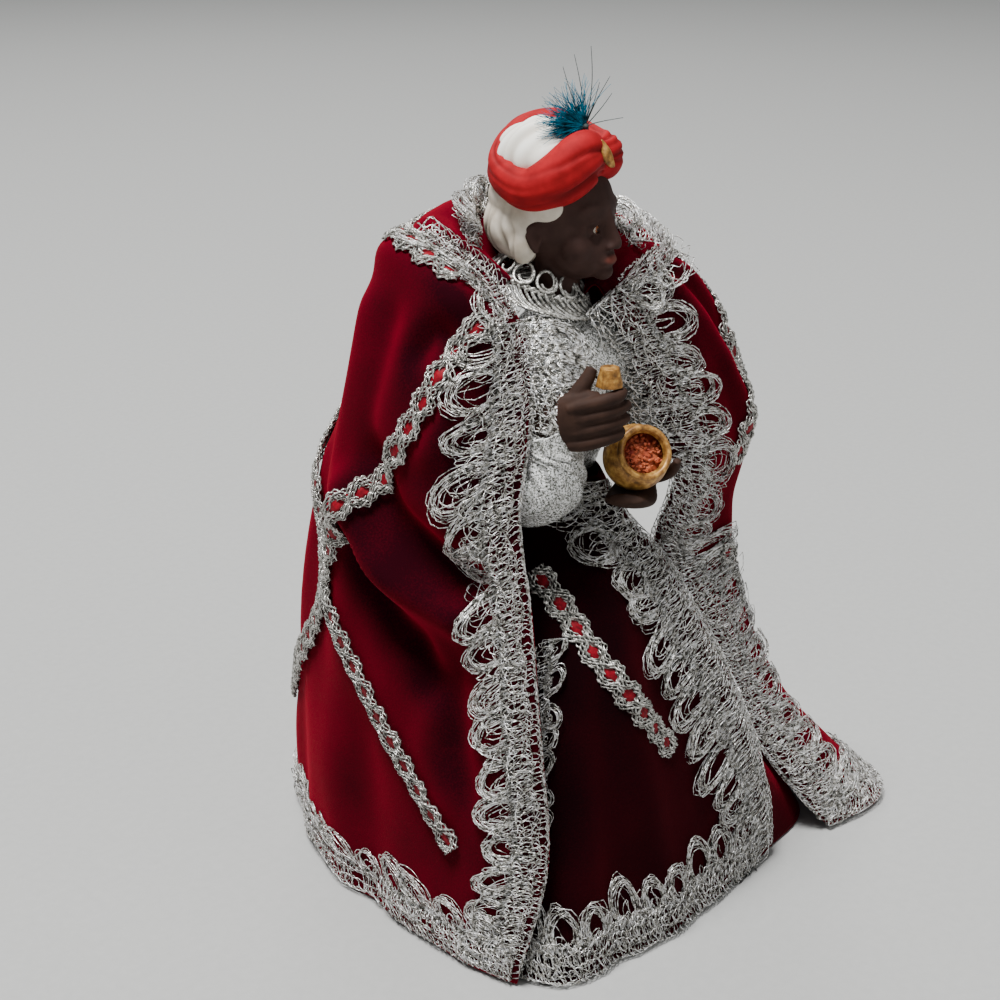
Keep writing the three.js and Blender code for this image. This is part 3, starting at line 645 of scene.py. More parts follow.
def feather_material(name, low, high):
    """Dyed hackle: dull barbs, a little uneven in colour."""
    material, tree, place = new_material(name)
    tone = colour_ramp(tree, noise(tree, place, 2, 2.0), [(0.3, low), (0.7, high)])
    return surface(material, tone, 0.7, settings={"Specular IOR Level": 0.2})


def plain_material(name, colour, roughness):
    """A smooth paint whose colour is broken up a little."""
    material, tree, place = new_material(name)
    mottle = noise(tree, place, 4, 2.0)
    value = add_node(tree, "ShaderNodeMapRange", {"Value": mottle, "To Min": 0.94, "To Max": 1.06})
    inputs = {"Color": linear(colour), "Value": value.outputs["Result"]}
    tone = add_node(tree, "ShaderNodeHueSaturation", inputs)
    return surface(material, tone.outputs["Color"], roughness)


FINISHES = {}


def finish_of(name):
    """The finish of a given name, made once."""
    paints = bpy.context.scene.crib_paints
    makers = {
        "velvet": lambda: velvet_material("cotton velvet", paints.velvet_deep, paints.velvet_lit),
        # The robe's velvet: the same cloth in darker colours, painted shade for where the cape shades it.
        "shaded velvet": lambda: velvet_material("cotton velvet, painted shade", "#120003", "#3C000A"),
        # The thread's darkest colours are painted shade and its lightest are painted glints.
        "lace": lambda: thread_material("silver metal thread", "#44423D", paints.silver, "#FFFFFF"),
        "cord": lambda: thread_material("silver cord", "#6E6C66", "#A6A49E", "#D8D6D0"),
        "ribbon": ribbon_material,
        "lame": lame_material,
        "gold": gold_material,
        "skin": lambda: clay_material("painted clay, dark brown", "#33201B", "#402B26", 0.68,
                                      [("lips", "#6E382E")]),
        "hands": lambda: clay_material("painted clay, brown", "#281811", "#39251C", 0.72),
        # The hair, crown and turban each carry a darker colour in their grooves and creases: painted shade.
        "hair": lambda: clay_material("painted clay, white", "#C6B9A6", "#E2D9CA", 0.76,
                                      [("hollow_shade", "#8E8374")]),
        "crown": lambda: clay_material("painted clay, cream white", "#FBF6E8", "#FFFEF6", 0.7,
                                       [("hollow_shade", "#B4A99A")]),
        "turban": lambda: clay_material("painted clay, red", "#840810", "#A8121C", 0.74,
                                        [("hollow_shade", "#560406")]),
        "eye white": lambda: plain_material("eye white paint", "#CFC6B8", 0.4),
        "iris": lambda: plain_material("amber paint", "#8A4A1C", 0.3),
        "pupil": lambda: plain_material("black paint", "#120A08", 0.3),
        "crumbs": lambda: clay_material("painted crumbs", "#7E1F16", "#C06A45", 0.5, grain=0.3),
        "teal": lambda: feather_material("teal hackle", "#02303E", "#1288A8"),
        "quill": lambda: feather_material("dark quill", "#2A3436", "#56605E"),
    }
    if name not in FINISHES:
        FINISHES[name] = makers[name]()
    return FINISHES[name]


def coat(piece, name):
    """Gives a piece one finish all over."""
    piece.data.materials.clear()
    piece.data.materials.append(finish_of(name))
    return piece


# Cloth

CLOTHS = {}

# Where the cape runs in under the collar: the neck's middle, and the velvet's radius, level and roll there
NECK = (-5, 1, 242)
NECK_RADIUS = 15.0
NECK_LEVEL = 241
NECK_ROLL = 3.5


def make_cloths():
    """Lays the three velvet pieces, which the lace and braid are then sewn to."""
    CLOTHS["right"] = Cloth(RIGHT_NET, 110, 130, 1, RIGHT_FOLDS, crumple=0.7, seed=3)
    CLOTHS["left"] = Cloth(LEFT_NET, 60, 110, -1, LEFT_FOLDS, crumple=0.6, seed=5)
    CLOTHS["robe"] = Cloth(ROBE_NET, 110, 56, -1, ROBE_FOLDS, closed=True, crumple=0.4, seed=7)


def turned_in(first_row):
    """Rows of velvet that roll over from a cape's upper edge and run in under the collar."""
    neck = in_frame(np.array(NECK))
    goal = neck + unit((first_row - neck) * [1, 1, 0]) * NECK_RADIUS
    sunk = np.minimum(first_row[:, 2], NECK_LEVEL)
    rows = []
    for share in np.linspace(1, 0, 12)[:-1]:
        row = first_row + (goal - first_row) * share
        row[:, 2] = first_row[:, 2] + (sunk - first_row[:, 2]) * share**1.5
        row[:, 2] += NECK_ROLL * np.sin(math.pi * share)
        rows.append(row)
    return np.array(rows)


def velvet_piece(name, cloth, thickness, pile="velvet"):
    """A cloth as a mesh with a true thickness."""
    columns = cloth.columns if cloth.closed else cloth.columns + 1
    grid = cloth.points[:, :columns]
    if not cloth.closed:
        grid = np.concatenate([turned_in(grid[0]), grid])
    faces = grid_faces(len(grid), columns, wrap=cloth.closed)
    if cloth.side < 0:
        faces = [[a, d, c, b] for a, b, c, d in faces]
    piece = new_piece(name, grid.reshape(-1, 3), faces)
    apply_modifier(piece, "SOLIDIFY", thickness=thickness * MM, offset=0)
    smooth(piece)
    return coat(piece, pile)


class CRIB_OT_velvet(bpy.types.Operator):
    """Hangs the velvet cape and robe"""
    bl_idname = "crib.velvet"
    bl_label = "Velvet"

    def execute(self, context):
        cloth = context.scene.crib_cloth
        pieces = [
            ("velvet_cape_right", "right", "cape_right", (0.245, 0.29), 0.0575, ["tunic", "collar_gimp"]),
            ("velvet_cape_left", "left", "cape_left", (0.13, 0.28), 0.0255, ["tunic", "collar_gimp"]),
            ("velvet_robe", "robe", "robe", (0.55, 0.2), 0.066, ["tunic"]),
        ]
        for name, key, node, flat, area, rests in pieces:
            # The robe takes the darker velvet, which is painted shade.
            pile = "shaded velvet" if key == "robe" else "velvet"
            piece = velvet_piece(name, CLOTHS[key], cloth.velvet_thickness, pile)
            finish(piece, "velvet", node)
        return {"FINISHED"}


# Lace

LACE_WIDTH = 24.0
LACE_WIRE = 0.2
STRAY_WIRE = 0.13


def loop_wire(centre, half, base, reach, lean, lift, dice, count=12):
    """One wire of a lace loop: an uneven oval that starts and ends at its base and leans to one side."""
    turn = np.linspace(0.15, FULL_TURN - 0.15, count)
    rise = (1 - np.cos(turn)) / 2
    wobble = dice.uniform(0, ANY_ANGLE)
    x = centre + half * np.sin(turn) + lean * rise + 0.3 * np.sin(3 * turn + wobble)
    y = base + reach * rise + 0.3 * np.sin(2 * turn + wobble)
    z = 0.4 + lift * rise + 0.4 * np.sin(2 * turn + 2 * wobble)
    return np.stack([x, y, z], axis=1)


def zigzag_wire(start, end, level, swing, step, dice):
    """One wire worked to and fro along the heading of a lace."""
    count = max(4, int((end - start) / step))
    x = np.linspace(start, end, count)
    y = level + np.array([dice.uniform(0.5, 1.1) * swing * (-1) ** k for k in range(count)])
    z = np.array([dice.uniform(0.4, 2.0) for _ in range(count)])
    x = x + np.array([dice.uniform(-0.6, 0.6) * step for _ in range(count)])
    return np.stack([x, y, z], axis=1)


def coil_wire(start, end, level, half, step, lift, dice):
    """One wire curled round and round along the heading of a lace."""
    turns = (end - start) / step
    turn = np.linspace(0, turns, max(8, int(turns * 7)))
    phase = dice.uniform(0, ANY_ANGLE)
    size = half * (0.85 + 0.3 * np.sin(turn * 0.9 + phase))
    angle = FULL_TURN * turn
    x = start + turn * step + size * np.cos(angle)
    y = level + size * np.sin(angle) + 0.6 * np.sin(turn * 0.37 + phase)
    z = 0.5 + lift * (1 + np.sin(angle + phase)) / 2
    return np.stack([x, y, z], axis=1)


def lay_lace(threads, run, width, seed, slant=0.42, start=0.0, end=None, pitch=15.0, rich=1.0, over=1.5,
             fluff=1.0):
    """Sews one lace band along a run: a curled heading and a row of loops made of many wires."""
    dice = random.Random(seed)
    end = run.length if end is None else end
    count = max(2, round((end - start) / pitch))
    pitch = (end - start) / count
    middle = 0.46 * width
    lines = []
    for k in range(count):
        centre = start + (k + 0.5) * pitch + dice.uniform(-1.2, 1.2)
        grown = dice.uniform(0.86, 1.12)
        tilt = dice.gauss(0, 2.4)
        core = dice.uniform(0.2, 0.34)
        for _ in range(round(10 * rich)):
            half = pitch * dice.uniform(core, 0.49)
            reach = (width - middle) * grown * dice.uniform(0.76, 1.05)
            lean = tilt + dice.gauss(0, 1.1)
            lift = dice.uniform(0.2, 3.0) * fluff
            lines.append(loop_wire(centre, half, middle - 1.5, reach + 1.2, lean, lift, dice, 15))
        for _ in range(round(5 * rich)):
            half = pitch * dice.uniform(0.08, 0.22)
            reach = (width - middle) * dice.uniform(0.3, 0.8)
            lift = dice.uniform(0.4, 3.4) * fluff
            spot = centre + pitch * dice.choice((-0.5, 0, 0.5)) + dice.gauss(0, 1)
            lines.append(loop_wire(spot, half, middle - 1, reach, tilt + dice.gauss(0, 2), lift, dice, 11))
        for _ in range(round(6 * rich)):
            half = pitch * dice.uniform(0.06, 0.14)
            reach = -(middle + over) * dice.uniform(0.7, 1.0)
            spot = centre + pitch * dice.uniform(-0.5, 0.5)
            lift = dice.uniform(0.6, 3.0) * fluff
            lines.append(loop_wire(spot, half, middle + 1.5, reach, dice.gauss(0, 1.5), lift, dice, 9))
    for _ in range(round(3 * rich)):
        lines.append(zigzag_wire(start, end, middle * dice.uniform(0.85, 1.1), 1.3, 1.2, dice))
    coils = max(2, round(3 * rich))
    for n in range(coils):
        level = (middle + over) * (n + 0.6) / coils - over
        half = (middle + over) * dice.uniform(0.2, 0.3)
        lines.append(coil_wire(start, end, level, half, dice.uniform(2.1, 3.0), 2.6 * fluff, dice))
    for _ in range(round(2 * rich)):
        lines.append(zigzag_wire(start, end, 0.2 - over * 0.7, 0.6, 1.2, dice))
    for line in lines:
        line[:, 0] = np.clip(line[:, 0] + slant * (line[:, 1] - middle), start - 2.5, end + 2.5)
        line[:, 1] = np.maximum(line[:, 1], 0.1 - over)
        line += [[dice.gauss(0, 0.1) for _ in range(3)] for _ in line]
        line[:, 2] = np.maximum(line[:, 2], 0.3)
        threads.add(*run.lay(line), LACE_WIRE * dice.uniform(0.75, 1.25))


def lay_strays(threads, run, level, count, seed, reach=7.0):
    """Loose ends and pulled loops that stand off a lace."""
    dice = random.Random(seed)
    for _ in range(count):
        centre = run.length * dice.random()
        half = dice.uniform(1.5, 4)
        base = level * dice.uniform(0.3, 0.9)
        height = dice.uniform(0.5, 1.1) * reach
        line = loop_wire(centre, half, base, height, dice.gauss(0, 3), dice.uniform(1.5, 4.5), dice, 12)
        if dice.random() < 0.4:
            line = line[: dice.randint(5, 8)]
        line[:, 0] = np.clip(line[:, 0], 0, run.length)
        threads.add(*run.lay(line), STRAY_WIRE)


# The lace bands: path on the cloth, share of the lace's width, seed, stray loops and settings of lay_lace
LACES = {
    "right": [
        ([[0.004, 0.1], [0.004, 0.5], [0.004, 1.0]], 1.08, 11, 50, {"rich": 1.5}),
        ([[0.0, 0.994], [0.15, 0.994], [0.3, 0.994]], 0.95, 12, 0, {"start": 4.8, "rich": 1.2, "over": 1}),
        ([[0.3, 0.994], [0.65, 0.994], [1.0, 0.994]], 0.8, 15, 0, {"rich": 0.7, "over": 1}),
        ([[0.996, 1.0], [0.996, 0.5], [0.996, 0.05]], 0.9, 13, 0, {"rich": 0.4}),
        ([[0.02, 0.08], [0.1, 0.02], [0.24, 0.012], [0.4, 0.012]], 0.5, 16, 0,
         {"slant": 0.1, "pitch": 11, "rich": 1.1, "over": 4.0, "fluff": 1.6}),
    ],
    "left": [
        ([[0.004, 0.0], [0.004, 0.2], [0.004, 0.4]], 1, 26, 0, {"rich": 1.5, "over": 12.0, "fluff": 1.3}),
        ([[0.004, 0.4], [0.004, 0.7], [0.004, 1.0]], 1, 21, 50, {"rich": 1.4, "over": 2.5}),
        ([[0.1, 0.01], [0.5, 0.01], [0.85, 0.01]], 0.7, 25, 0, {"rich": 0.9, "slant": 0.1, "fluff": 2.2}),
        ([[0.0, 0.994], [0.5, 0.994], [1.0, 0.994]], 0.95, 22, 0, {"rich": 1.2, "over": 1.5}),
        ([[0.996, 1.0], [0.996, 0.5], [0.996, 0.05]], 0.7, 23, 0, {"rich": 0.4}),
    ],
    "robe": [
        ([[0.0, 0.97], [0.0, 0.5], [0.0, 0.01]], 1, 31, 30, {"rich": 1.4}),
        ([[0.0, 0.008], [0.155, 0.008], [0.31, 0.008]], 0.9, 32, 0, {"start": 12, "rich": 1.2, "over": 0.8}),
        ([[0.312, 0.02], [0.306, 0.3], [0.3, 0.6]], 0.55, 33, 0, {"pitch": 10, "rich": 0.7}),
    ],
}
STRAY_SEED_STEP = 3


class CRIB_OT_lace(bpy.types.Operator):
    """Sews silver lace along the edges"""
    bl_idname = "crib.lace"
    bl_label = "Lace"

    def execute(self, context):
        width = context.scene.crib_cloth.lace_width
        groups = [
            ("right", "lace_cape_right", "cape_right_lace", (0.5, 0.5)),
            ("left", "lace_cape_left", "cape_left_lace", (0.5, 0.5)),
            ("robe", "lace_robe", "robe_lace", (0.1, 0.4)),
        ]
        for key, name, node, toward in groups:
            threads = Threads()
            for path, share, seed, strays, settings in LACES[key]:
                run = Run(CLOTHS[key], path, toward)
                lay_lace(threads, run, width * share, seed, **settings)
                lay_strays(threads, run, width * 0.8, strays, seed + STRAY_SEED_STEP)
            finish(coat(threads.piece(name), "lace"), "silver_lace", node)
        return {"FINISHED"}


# Braid

BRAID_CORD = 0.42
RIBBON_THICKNESS = 0.25


def lay_braid(silver, ribbon, run, seed, lift=0.0, pitch=10.2, half=5.2):
    """Lays one braid: plaited silver cords that part round short windows of ribbon."""
    dice = random.Random(seed)
    count = max(1, round(run.length / pitch))
    pitch = run.length / count
    x = np.arange(0.0, run.length, 0.6)
    parted = (1 + np.cos(FULL_TURN * (x / pitch - 0.5))) / 2
    inner = 2.9 * parted ** 0.7 - 0.9
    outer = half * (0.66 + 0.34 * parted)
    for side in (-1, 1):
        for n in range(6):
            share = n / 5
            plait = FULL_TURN * x / dice.uniform(2.6, 3.4) + math.pi * n + dice.uniform(-0.8, 0.8)
            y = side * (inner + (outer - inner) * share) + 0.42 * np.sin(plait)
            z = 1.2 + lift + 0.4 * np.cos(plait) + 0.8 * math.sin(math.pi * share) + 0.5 * (1 - parted)
            silver.add(*run.lay(np.stack([x, y, z], axis=1)), BRAID_CORD * dice.uniform(0.85, 1.1))
    x = np.arange(0.2, run.length, 1.0)
    rows = []
    for y in (-1.9, -0.7, 0.7, 1.9):
        z = 1.1 + lift + 0.4 * np.cos(FULL_TURN * (x / pitch - 0.5)) + 0.1 * (1 - abs(y) / 1.9)
        rows.append(run.lay(np.stack([x, np.full_like(x, y), z], axis=1))[0])
    ribbon.append(np.stack(rows, axis=1))


def ribbon_piece(name, strips):
    """Flat ribbons from their rows of points."""
    points, faces, total = [], [], 0
    for strip in strips:
        length, across = strip.shape[:2]
        points.append(strip.reshape(-1, 3))
        faces += grid_faces(length, across, wrap=False, first=total)
        total += length * across
    piece = new_piece(name, np.concatenate(points), faces)
    apply_modifier(piece, "SOLIDIFY", thickness=RIBBON_THICKNESS * MM, offset=0)
    return coat(piece, "ribbon")


# Where the braids lie on each cloth, and how far they are lifted off it in mm
BRAID_PATHS = {
    "right": [
        ([[0.14, 0.125], [0.19, 0.18], [0.25, 0.26], [0.32, 0.36], [0.4, 0.45], [0.45, 0.53],
          [0.475, 0.62], [0.53, 0.71], [0.6, 0.79], [0.66, 0.85]], 0.9),
        ([[0.85, 0.2], [0.76, 0.3], [0.67, 0.42], [0.57, 0.52], [0.465, 0.615], [0.36, 0.69],
          [0.26, 0.77], [0.15, 0.865]], 0.7),
        ([[0.85, 0.06], [0.7, 0.06], [0.5, 0.065], [0.36, 0.07], [0.22, 0.08]], 0.0),
    ],
    "left": [
        ([[0.62, 0.1], [0.56, 0.22], [0.5, 0.34], [0.42, 0.42], [0.36, 0.47]], 0.0),
        ([[0.4, 0.62], [0.5, 0.7], [0.6, 0.77]], 0.0),
    ],
    "robe": [([[0.3, 0.73], [0.24, 0.64], [0.18, 0.53], [0.107, 0.375]], -0.6)],
}


class CRIB_OT_braid(bpy.types.Operator):
    """Lays the ribbon braids on the velvet"""
    bl_idname = "crib.braid"
    bl_label = "Ribbon braid"

    def execute(self, context):
        groups = [
            ("right", "braids_cape_right", ["braid_right_front", "braid_right_back", "braid_right_neck"]),
            ("left", "braids_cape_left", ["braid_left_front", "braid_left_back"]),
            ("robe", "braid_on_robe", ["braid_robe"]),
        ]
        for key, name, nodes in groups:
            silver, ribbon = Threads(), []
            for n, (path, lift) in enumerate(BRAID_PATHS[key]):
                lay_braid(silver, ribbon, Run(CLOTHS[key], path), 41 + n, lift)
            parts = [coat(silver.piece(name), "cord"), ribbon_piece("ribbon", ribbon)]
            finish(joined(name, parts), "ribbon_braid", *nodes)
        return {"FINISHED"}


# Collar

GIMP_LOOPS = 11
GIMP_CORD = 0.55
GIMP_POINTS = 16

# The standing lace's upper and lower row, round behind the neck
COLLAR_NET = [
    [[-26, -10, 262], [-32, 0, 269], [-29, 13, 273], [-17, 24, 273], [0, 30, 269], [16, 27, 262],
     [26, 18, 256], [27, 9, 252]],
    [[-24, -8, 250], [-27, 2, 252], [-25, 11, 252], [-15, 20, 252], [0, 24, 250], [13, 21, 248],
     [21, 14, 246], [21, 8, 244]],
]

# The front lace's turned-over end, from the cape's edge across the chest, row by row down to the hand
FRILL_NET = [
    [[-22, -18, 242], [-14, -20, 239], [-6, -21, 237], [2, -20, 235]],
    [[-21, -24, 235], [-12, -26, 232], [-3, -26, 230], [6, -24, 228]],
    [[-17, -33, 223], [-9, -34, 222], [0, -33, 221], [9, -30, 218]],
    [[-12, -41, 208], [-5, -42, 207], [1, -41, 207], [7, -38, 206]],
    [[-10, -46, 194], [-5, -46, 193], [-1, -44, 192], [3, -42, 191]],
]


def gimp_net():
    """A cone round the neck, low at the figure's left, for the gimp to lie on."""
    net = []
    for drop in (0, 1, 2, 3):
        ring = []
        for angle in turns(GIMP_POINTS):
            radius = 13.8 + 2.4 * drop
            across = -5.5 + radius * math.cos(angle)
            away = 1 + radius * math.sin(angle)
            ring.append([across, away, 245.6 - 3.1 * drop - 0.34 * (across + 5)])
        net.append(ring)
    return net


class CRIB_OT_collar(bpy.types.Operator):
    """Puts the looped gimp and the standing lace round the neck"""
    bl_idname = "crib.collar"
    bl_label = "Collar"

    def execute(self, context):
        self.gimp()
        stand = Cloth(COLLAR_NET, 80, 16, 1, crumple=1.2, seed=9)
        threads = Threads()
        edge = Run(stand, [[0.02, 0.95], [0.45, 0.95], [0.88, 0.95]], (0.5, 0.0))
        lay_lace(threads, edge, 21, 52, slant=0.1, pitch=13, rich=1.9, over=0, fluff=2.0)
        lay_strays(threads, edge, 14, 60, 53)
        self.chest_frill(threads)
        finish(coat(threads.piece("standing_lace"), "lace"), "silver_lace", "collar_lace")
        return {"FINISHED"}

    def gimp(self):
        """Looped cords over a twisted pair, with slanting cords hanging from it."""
        cone = Cloth(gimp_net(), 96, 12, 1, closed=True)
        threads = Threads(6)
        run = Run(cone, [[k / 24, 0.3] for k in range(25)], (0.5, 1.0))
        dice = random.Random(51)
        pitch = run.length / GIMP_LOOPS
        for k in range(GIMP_LOOPS):
            for line in self.gimp_cords((k + 0.5) * pitch, pitch):
                line[:, 0] = line[:, 0] % run.length
                seam = np.flatnonzero(np.abs(np.diff(line[:, 0])) > run.length / 2)
                for part in np.split(line, seam + 1):
                    if len(part) > 3:
                        ridges = GIMP_CORD * (1 + 0.14 * np.cos(np.arange(len(part)) * math.pi))
                        threads.add(*run.lay(part), ridges * dice.uniform(0.95, 1.05))
        finish(coat(threads.piece("gimp_collar"), "cord"), "silver_lace", "collar_gimp")

    def gimp_cords(self, centre, pitch):
        """One unit of the gimp: a loop that curls into itself, four slanting cords and a twisted pair."""
        turn = np.linspace(-0.6, FULL_TURN + 2.6, 66)
        curl = 3.9 - 2.0 * np.clip(turn - 5.0, 0, 4) / 4
        lift = 0.9 + 0.9 * np.clip(turn - 4, 0, 3) / 3
        cords = [(centre + curl * np.cos(turn), -1.4 + curl * np.sin(turn), lift)]
        reach = np.linspace(0, 1, 40)
        for n in range(4):
            x = centre + pitch * (n / 4 + 1.5 * reach ** 1.3)
            y = 2.6 + 7.4 * np.sin(math.pi / 2 * reach)
            cords.append((x, y, 1.3 + 1.1 * np.sin(math.pi * reach) + 0.3 * (n % 2)))
        reach = np.linspace(0, 1, 20)
        for phase in (0, math.pi):
            twist = 2 * FULL_TURN * reach + phase
            x = centre + pitch * (reach - 0.5)
            cords.append((x, 2.7 + 0.7 * np.sin(twist), 2.1 + 0.5 * np.cos(twist)))
        return [np.stack(cord, axis=1) for cord in cords]

    def chest_frill(self, threads):
        """The end of the front lace, which turns over and hangs across the chest."""
        frill = Cloth(FRILL_NET, 40, 60, 1, crumple=0.8, seed=15)
        edge = Run(frill, [[0.0, 0.3], [0.0, 0.65], [0.0, 1.0]], (0.5, 0.5))
        lay_lace(threads, edge, 27, 54, slant=0.5, rich=1.5, over=0, fluff=1.6)
        second = Run(frill, [[0.3, 0.27], [0.3, 0.6], [0.3, 1.0]], (1.0, 0.5))
        lay_lace(threads, second, 21, 56, slant=0.7, pitch=12, rich=1.1, over=0, fluff=1.4)
        lay_strays(threads, edge, 16, 50, 55, 10)


# Tunic

KNIT_THICKNESS = 0.5
RIB_DEPTH = 0.2
RIB_PITCH = 2.4

# The knit over the chest: height, half width, half depth and how far forward
CHEST_LEVELS = [
    [172.5, 16, 13, 0], [184, 19, 15, 2], [200, 24, 18, 4], [213, 27, 18, 4],
    [222, 25, 15, 3], [228.5, 15, 11, 1], [233, 9, 8.6, 0], [236, 8.6, 8.6, 0],
]

# The sleeves from shoulder to wrist: across, away, up, half height and half width
RIGHT_SLEEVE = [
    [-12, -12, 218, 8, 8], [-24, -22, 208, 9, 9], [-30, -28, 192, 9, 9], [-22, -31, 179, 12, 12],
    [-6.6, -31, 178, 15.6, 15.2], [-2.4, -33, 190, 12, 10.6], [-3.2, -35.6, 199.6, 8.4, 6],
]
LEFT_SLEEVE = [
    [12, 12, 218, 8, 8], [22, 24, 208, 8, 8], [28, 28, 193, 8, 8], [29, 16, 184, 7.5, 7.5],
    [29.5, 1, 178.6, 7.5, 7],
]


class CRIB_OT_tunic(bpy.types.Operator):
    """Makes the silver tunic with its gathered right cuff"""
    bl_idname = "crib.tunic"
    bl_label = "Tunic"

    def execute(self, context):
        rows, around = 72, 60
        values = smooth_line(CHEST_LEVELS, rows)
        angles = turns(around)
        rib = RIB_DEPTH * np.cos(values[:, 0] * FULL_TURN / RIB_PITCH)
        across = np.cos(angles) * (values[:, 1] + rib)[:, None]
        away = np.sin(angles) * (values[:, 2] + rib)[:, None] - values[:, 3:]
        up = np.broadcast_to(values[:, :1], across.shape)
        points = np.stack([across + CENTRE[0], away + CENTRE[1], up], axis=-1).reshape(-1, 3)
        chest = new_piece("chest", points, grid_faces(rows, around))
        apply_modifier(chest, "SOLIDIFY", thickness=KNIT_THICKNESS * MM, offset=-1)
        right = self.sleeve(RIGHT_SLEEVE, 0.5, 64, 72)
        left = self.sleeve(LEFT_SLEEVE, 0.3, 40, 44)
        piece = coat(joined("silver_tunic", [chest, right, left]), "lame")
        finish(piece, "lame", "tunic")
        return {"FINISHED"}

    def sleeve(self, line, gather, steps, around):
        """A gathered tube along points with their half height and half width."""
        values = smooth_line(line, steps)
        centre = in_frame(values[:, :3])
        angles = turns(around)
        waves = 1 + gather * 0.1 * np.sin(angles * 11)[None] * np.linspace(0.2, 1, steps)[:, None]
        going = unit(np.gradient(centre, axis=0))
        points = tube_points(centre, going, waves * values[:, 4:5], waves * values[:, 3:4], around)
        faces = grid_faces(steps, around)
        piece = new_piece("sleeve", points, faces)
        apply_modifier(piece, "SOLIDIFY", thickness=KNIT_THICKNESS * MM, offset=-1)
        return piece


# Head

# Where the head stands and the way it faces
HEAD_FOOT = (-1, 1, 0)
FACE_WAY = (0.883, -0.469, 0)

# An eye's middle (across, ahead and up from the head's foot) and its sizes
EYE = (5.5, 16.9, 260.8)
EYE_RADIUS = 2.95
IRIS_RADIUS = 1.35
PUPIL_RADIUS = 0.62

# Lumps of hair at each side of the head: place and half sizes
HAIR_LUMPS = [
    ((15, 2.6, 269), (3.4, 8.4, 6)),
    ((15.4, -3.6, 263), (3.2, 6, 8)),
    ((14.8, -4.6, 255), (3.8, 5.4, 7)),
]

# Grooves in the hair: angle round the head and depth
HAIR_GROOVES = [
    (-3.08, 0.6), (-2.86, 0.9), (-2.52, 0.7), (-2.3, 1.0), (-1.95, 0.7), (-1.6, 0.9),
    (-1.2, 0.8), (-0.85, 1.0), (-0.6, 0.7), (-0.28, 0.9), (-0.06, 0.6),
]

# Creases across the crown: place, width and depth
CROWN_CREASES = [(-9, 1.6, 1.4), (-2.5, 1.2, 0.7), (3, 1.8, 1.2), (9, 1.2, 0.7)]

# The turban's roll, from the forehead round by the near side: turn in degrees, radius, rise, half sizes
BRIM = [
    [0, 16.5, 5.0, 4.0, 6.4], [24, 17, 8.8, 6.8, 9.4], [54, 16.8, 4.6, 7.2, 9.2], [88, 17.4, 0.6, 6.2, 7.2],
    [120, 17.4, 0.0, 5.6, 6.4], [150, 17.2, -0.6, 5.4, 6.2], [182, 16.8, 0.2, 5.2, 6.2],
    [212, 16.8, 1.0, 5.2, 6.2], [245, 16.8, 0.6, 5.2, 6.2], [275, 16.0, -1.3, 5.6, 6.4],
    [306, 16.4, -2.3, 6.6, 7.8], [336, 17.3, 1.4, 6.6, 8.2],
]
BRIM_HEIGHT = 281.4
BRIM_LEAN = (0.43, -0.17)

# Creases in the roll: place round its section, twist, width and depth, as shares of the section
BRIM_CREASES = [
    (0.1, 0.9, 0.11, 0.15), (0.8, -0.7, 0.15, 0.12), (-0.5, 0.6, 0.12, 0.14), (1.5, 0.8, 0.12, 0.09),
    (-1.1, -0.9, 0.14, 0.14), (2.2, 0.5, 0.12, 0.1),
]


def head_turn():
    """The turn from the head's own side, front and up to the frame."""
    front = Vector(in_frame(FACE_WAY) - in_frame((0, 0, 0))).normalized()
    side = Vector((0, 0, 1)).cross(front).normalized()
    foot = Vector(in_frame(HEAD_FOOT))
    turn = Matrix((side, front, Vector((0, 0, 1)))).transposed().to_4x4()
    return Matrix.Translation(foot) @ turn


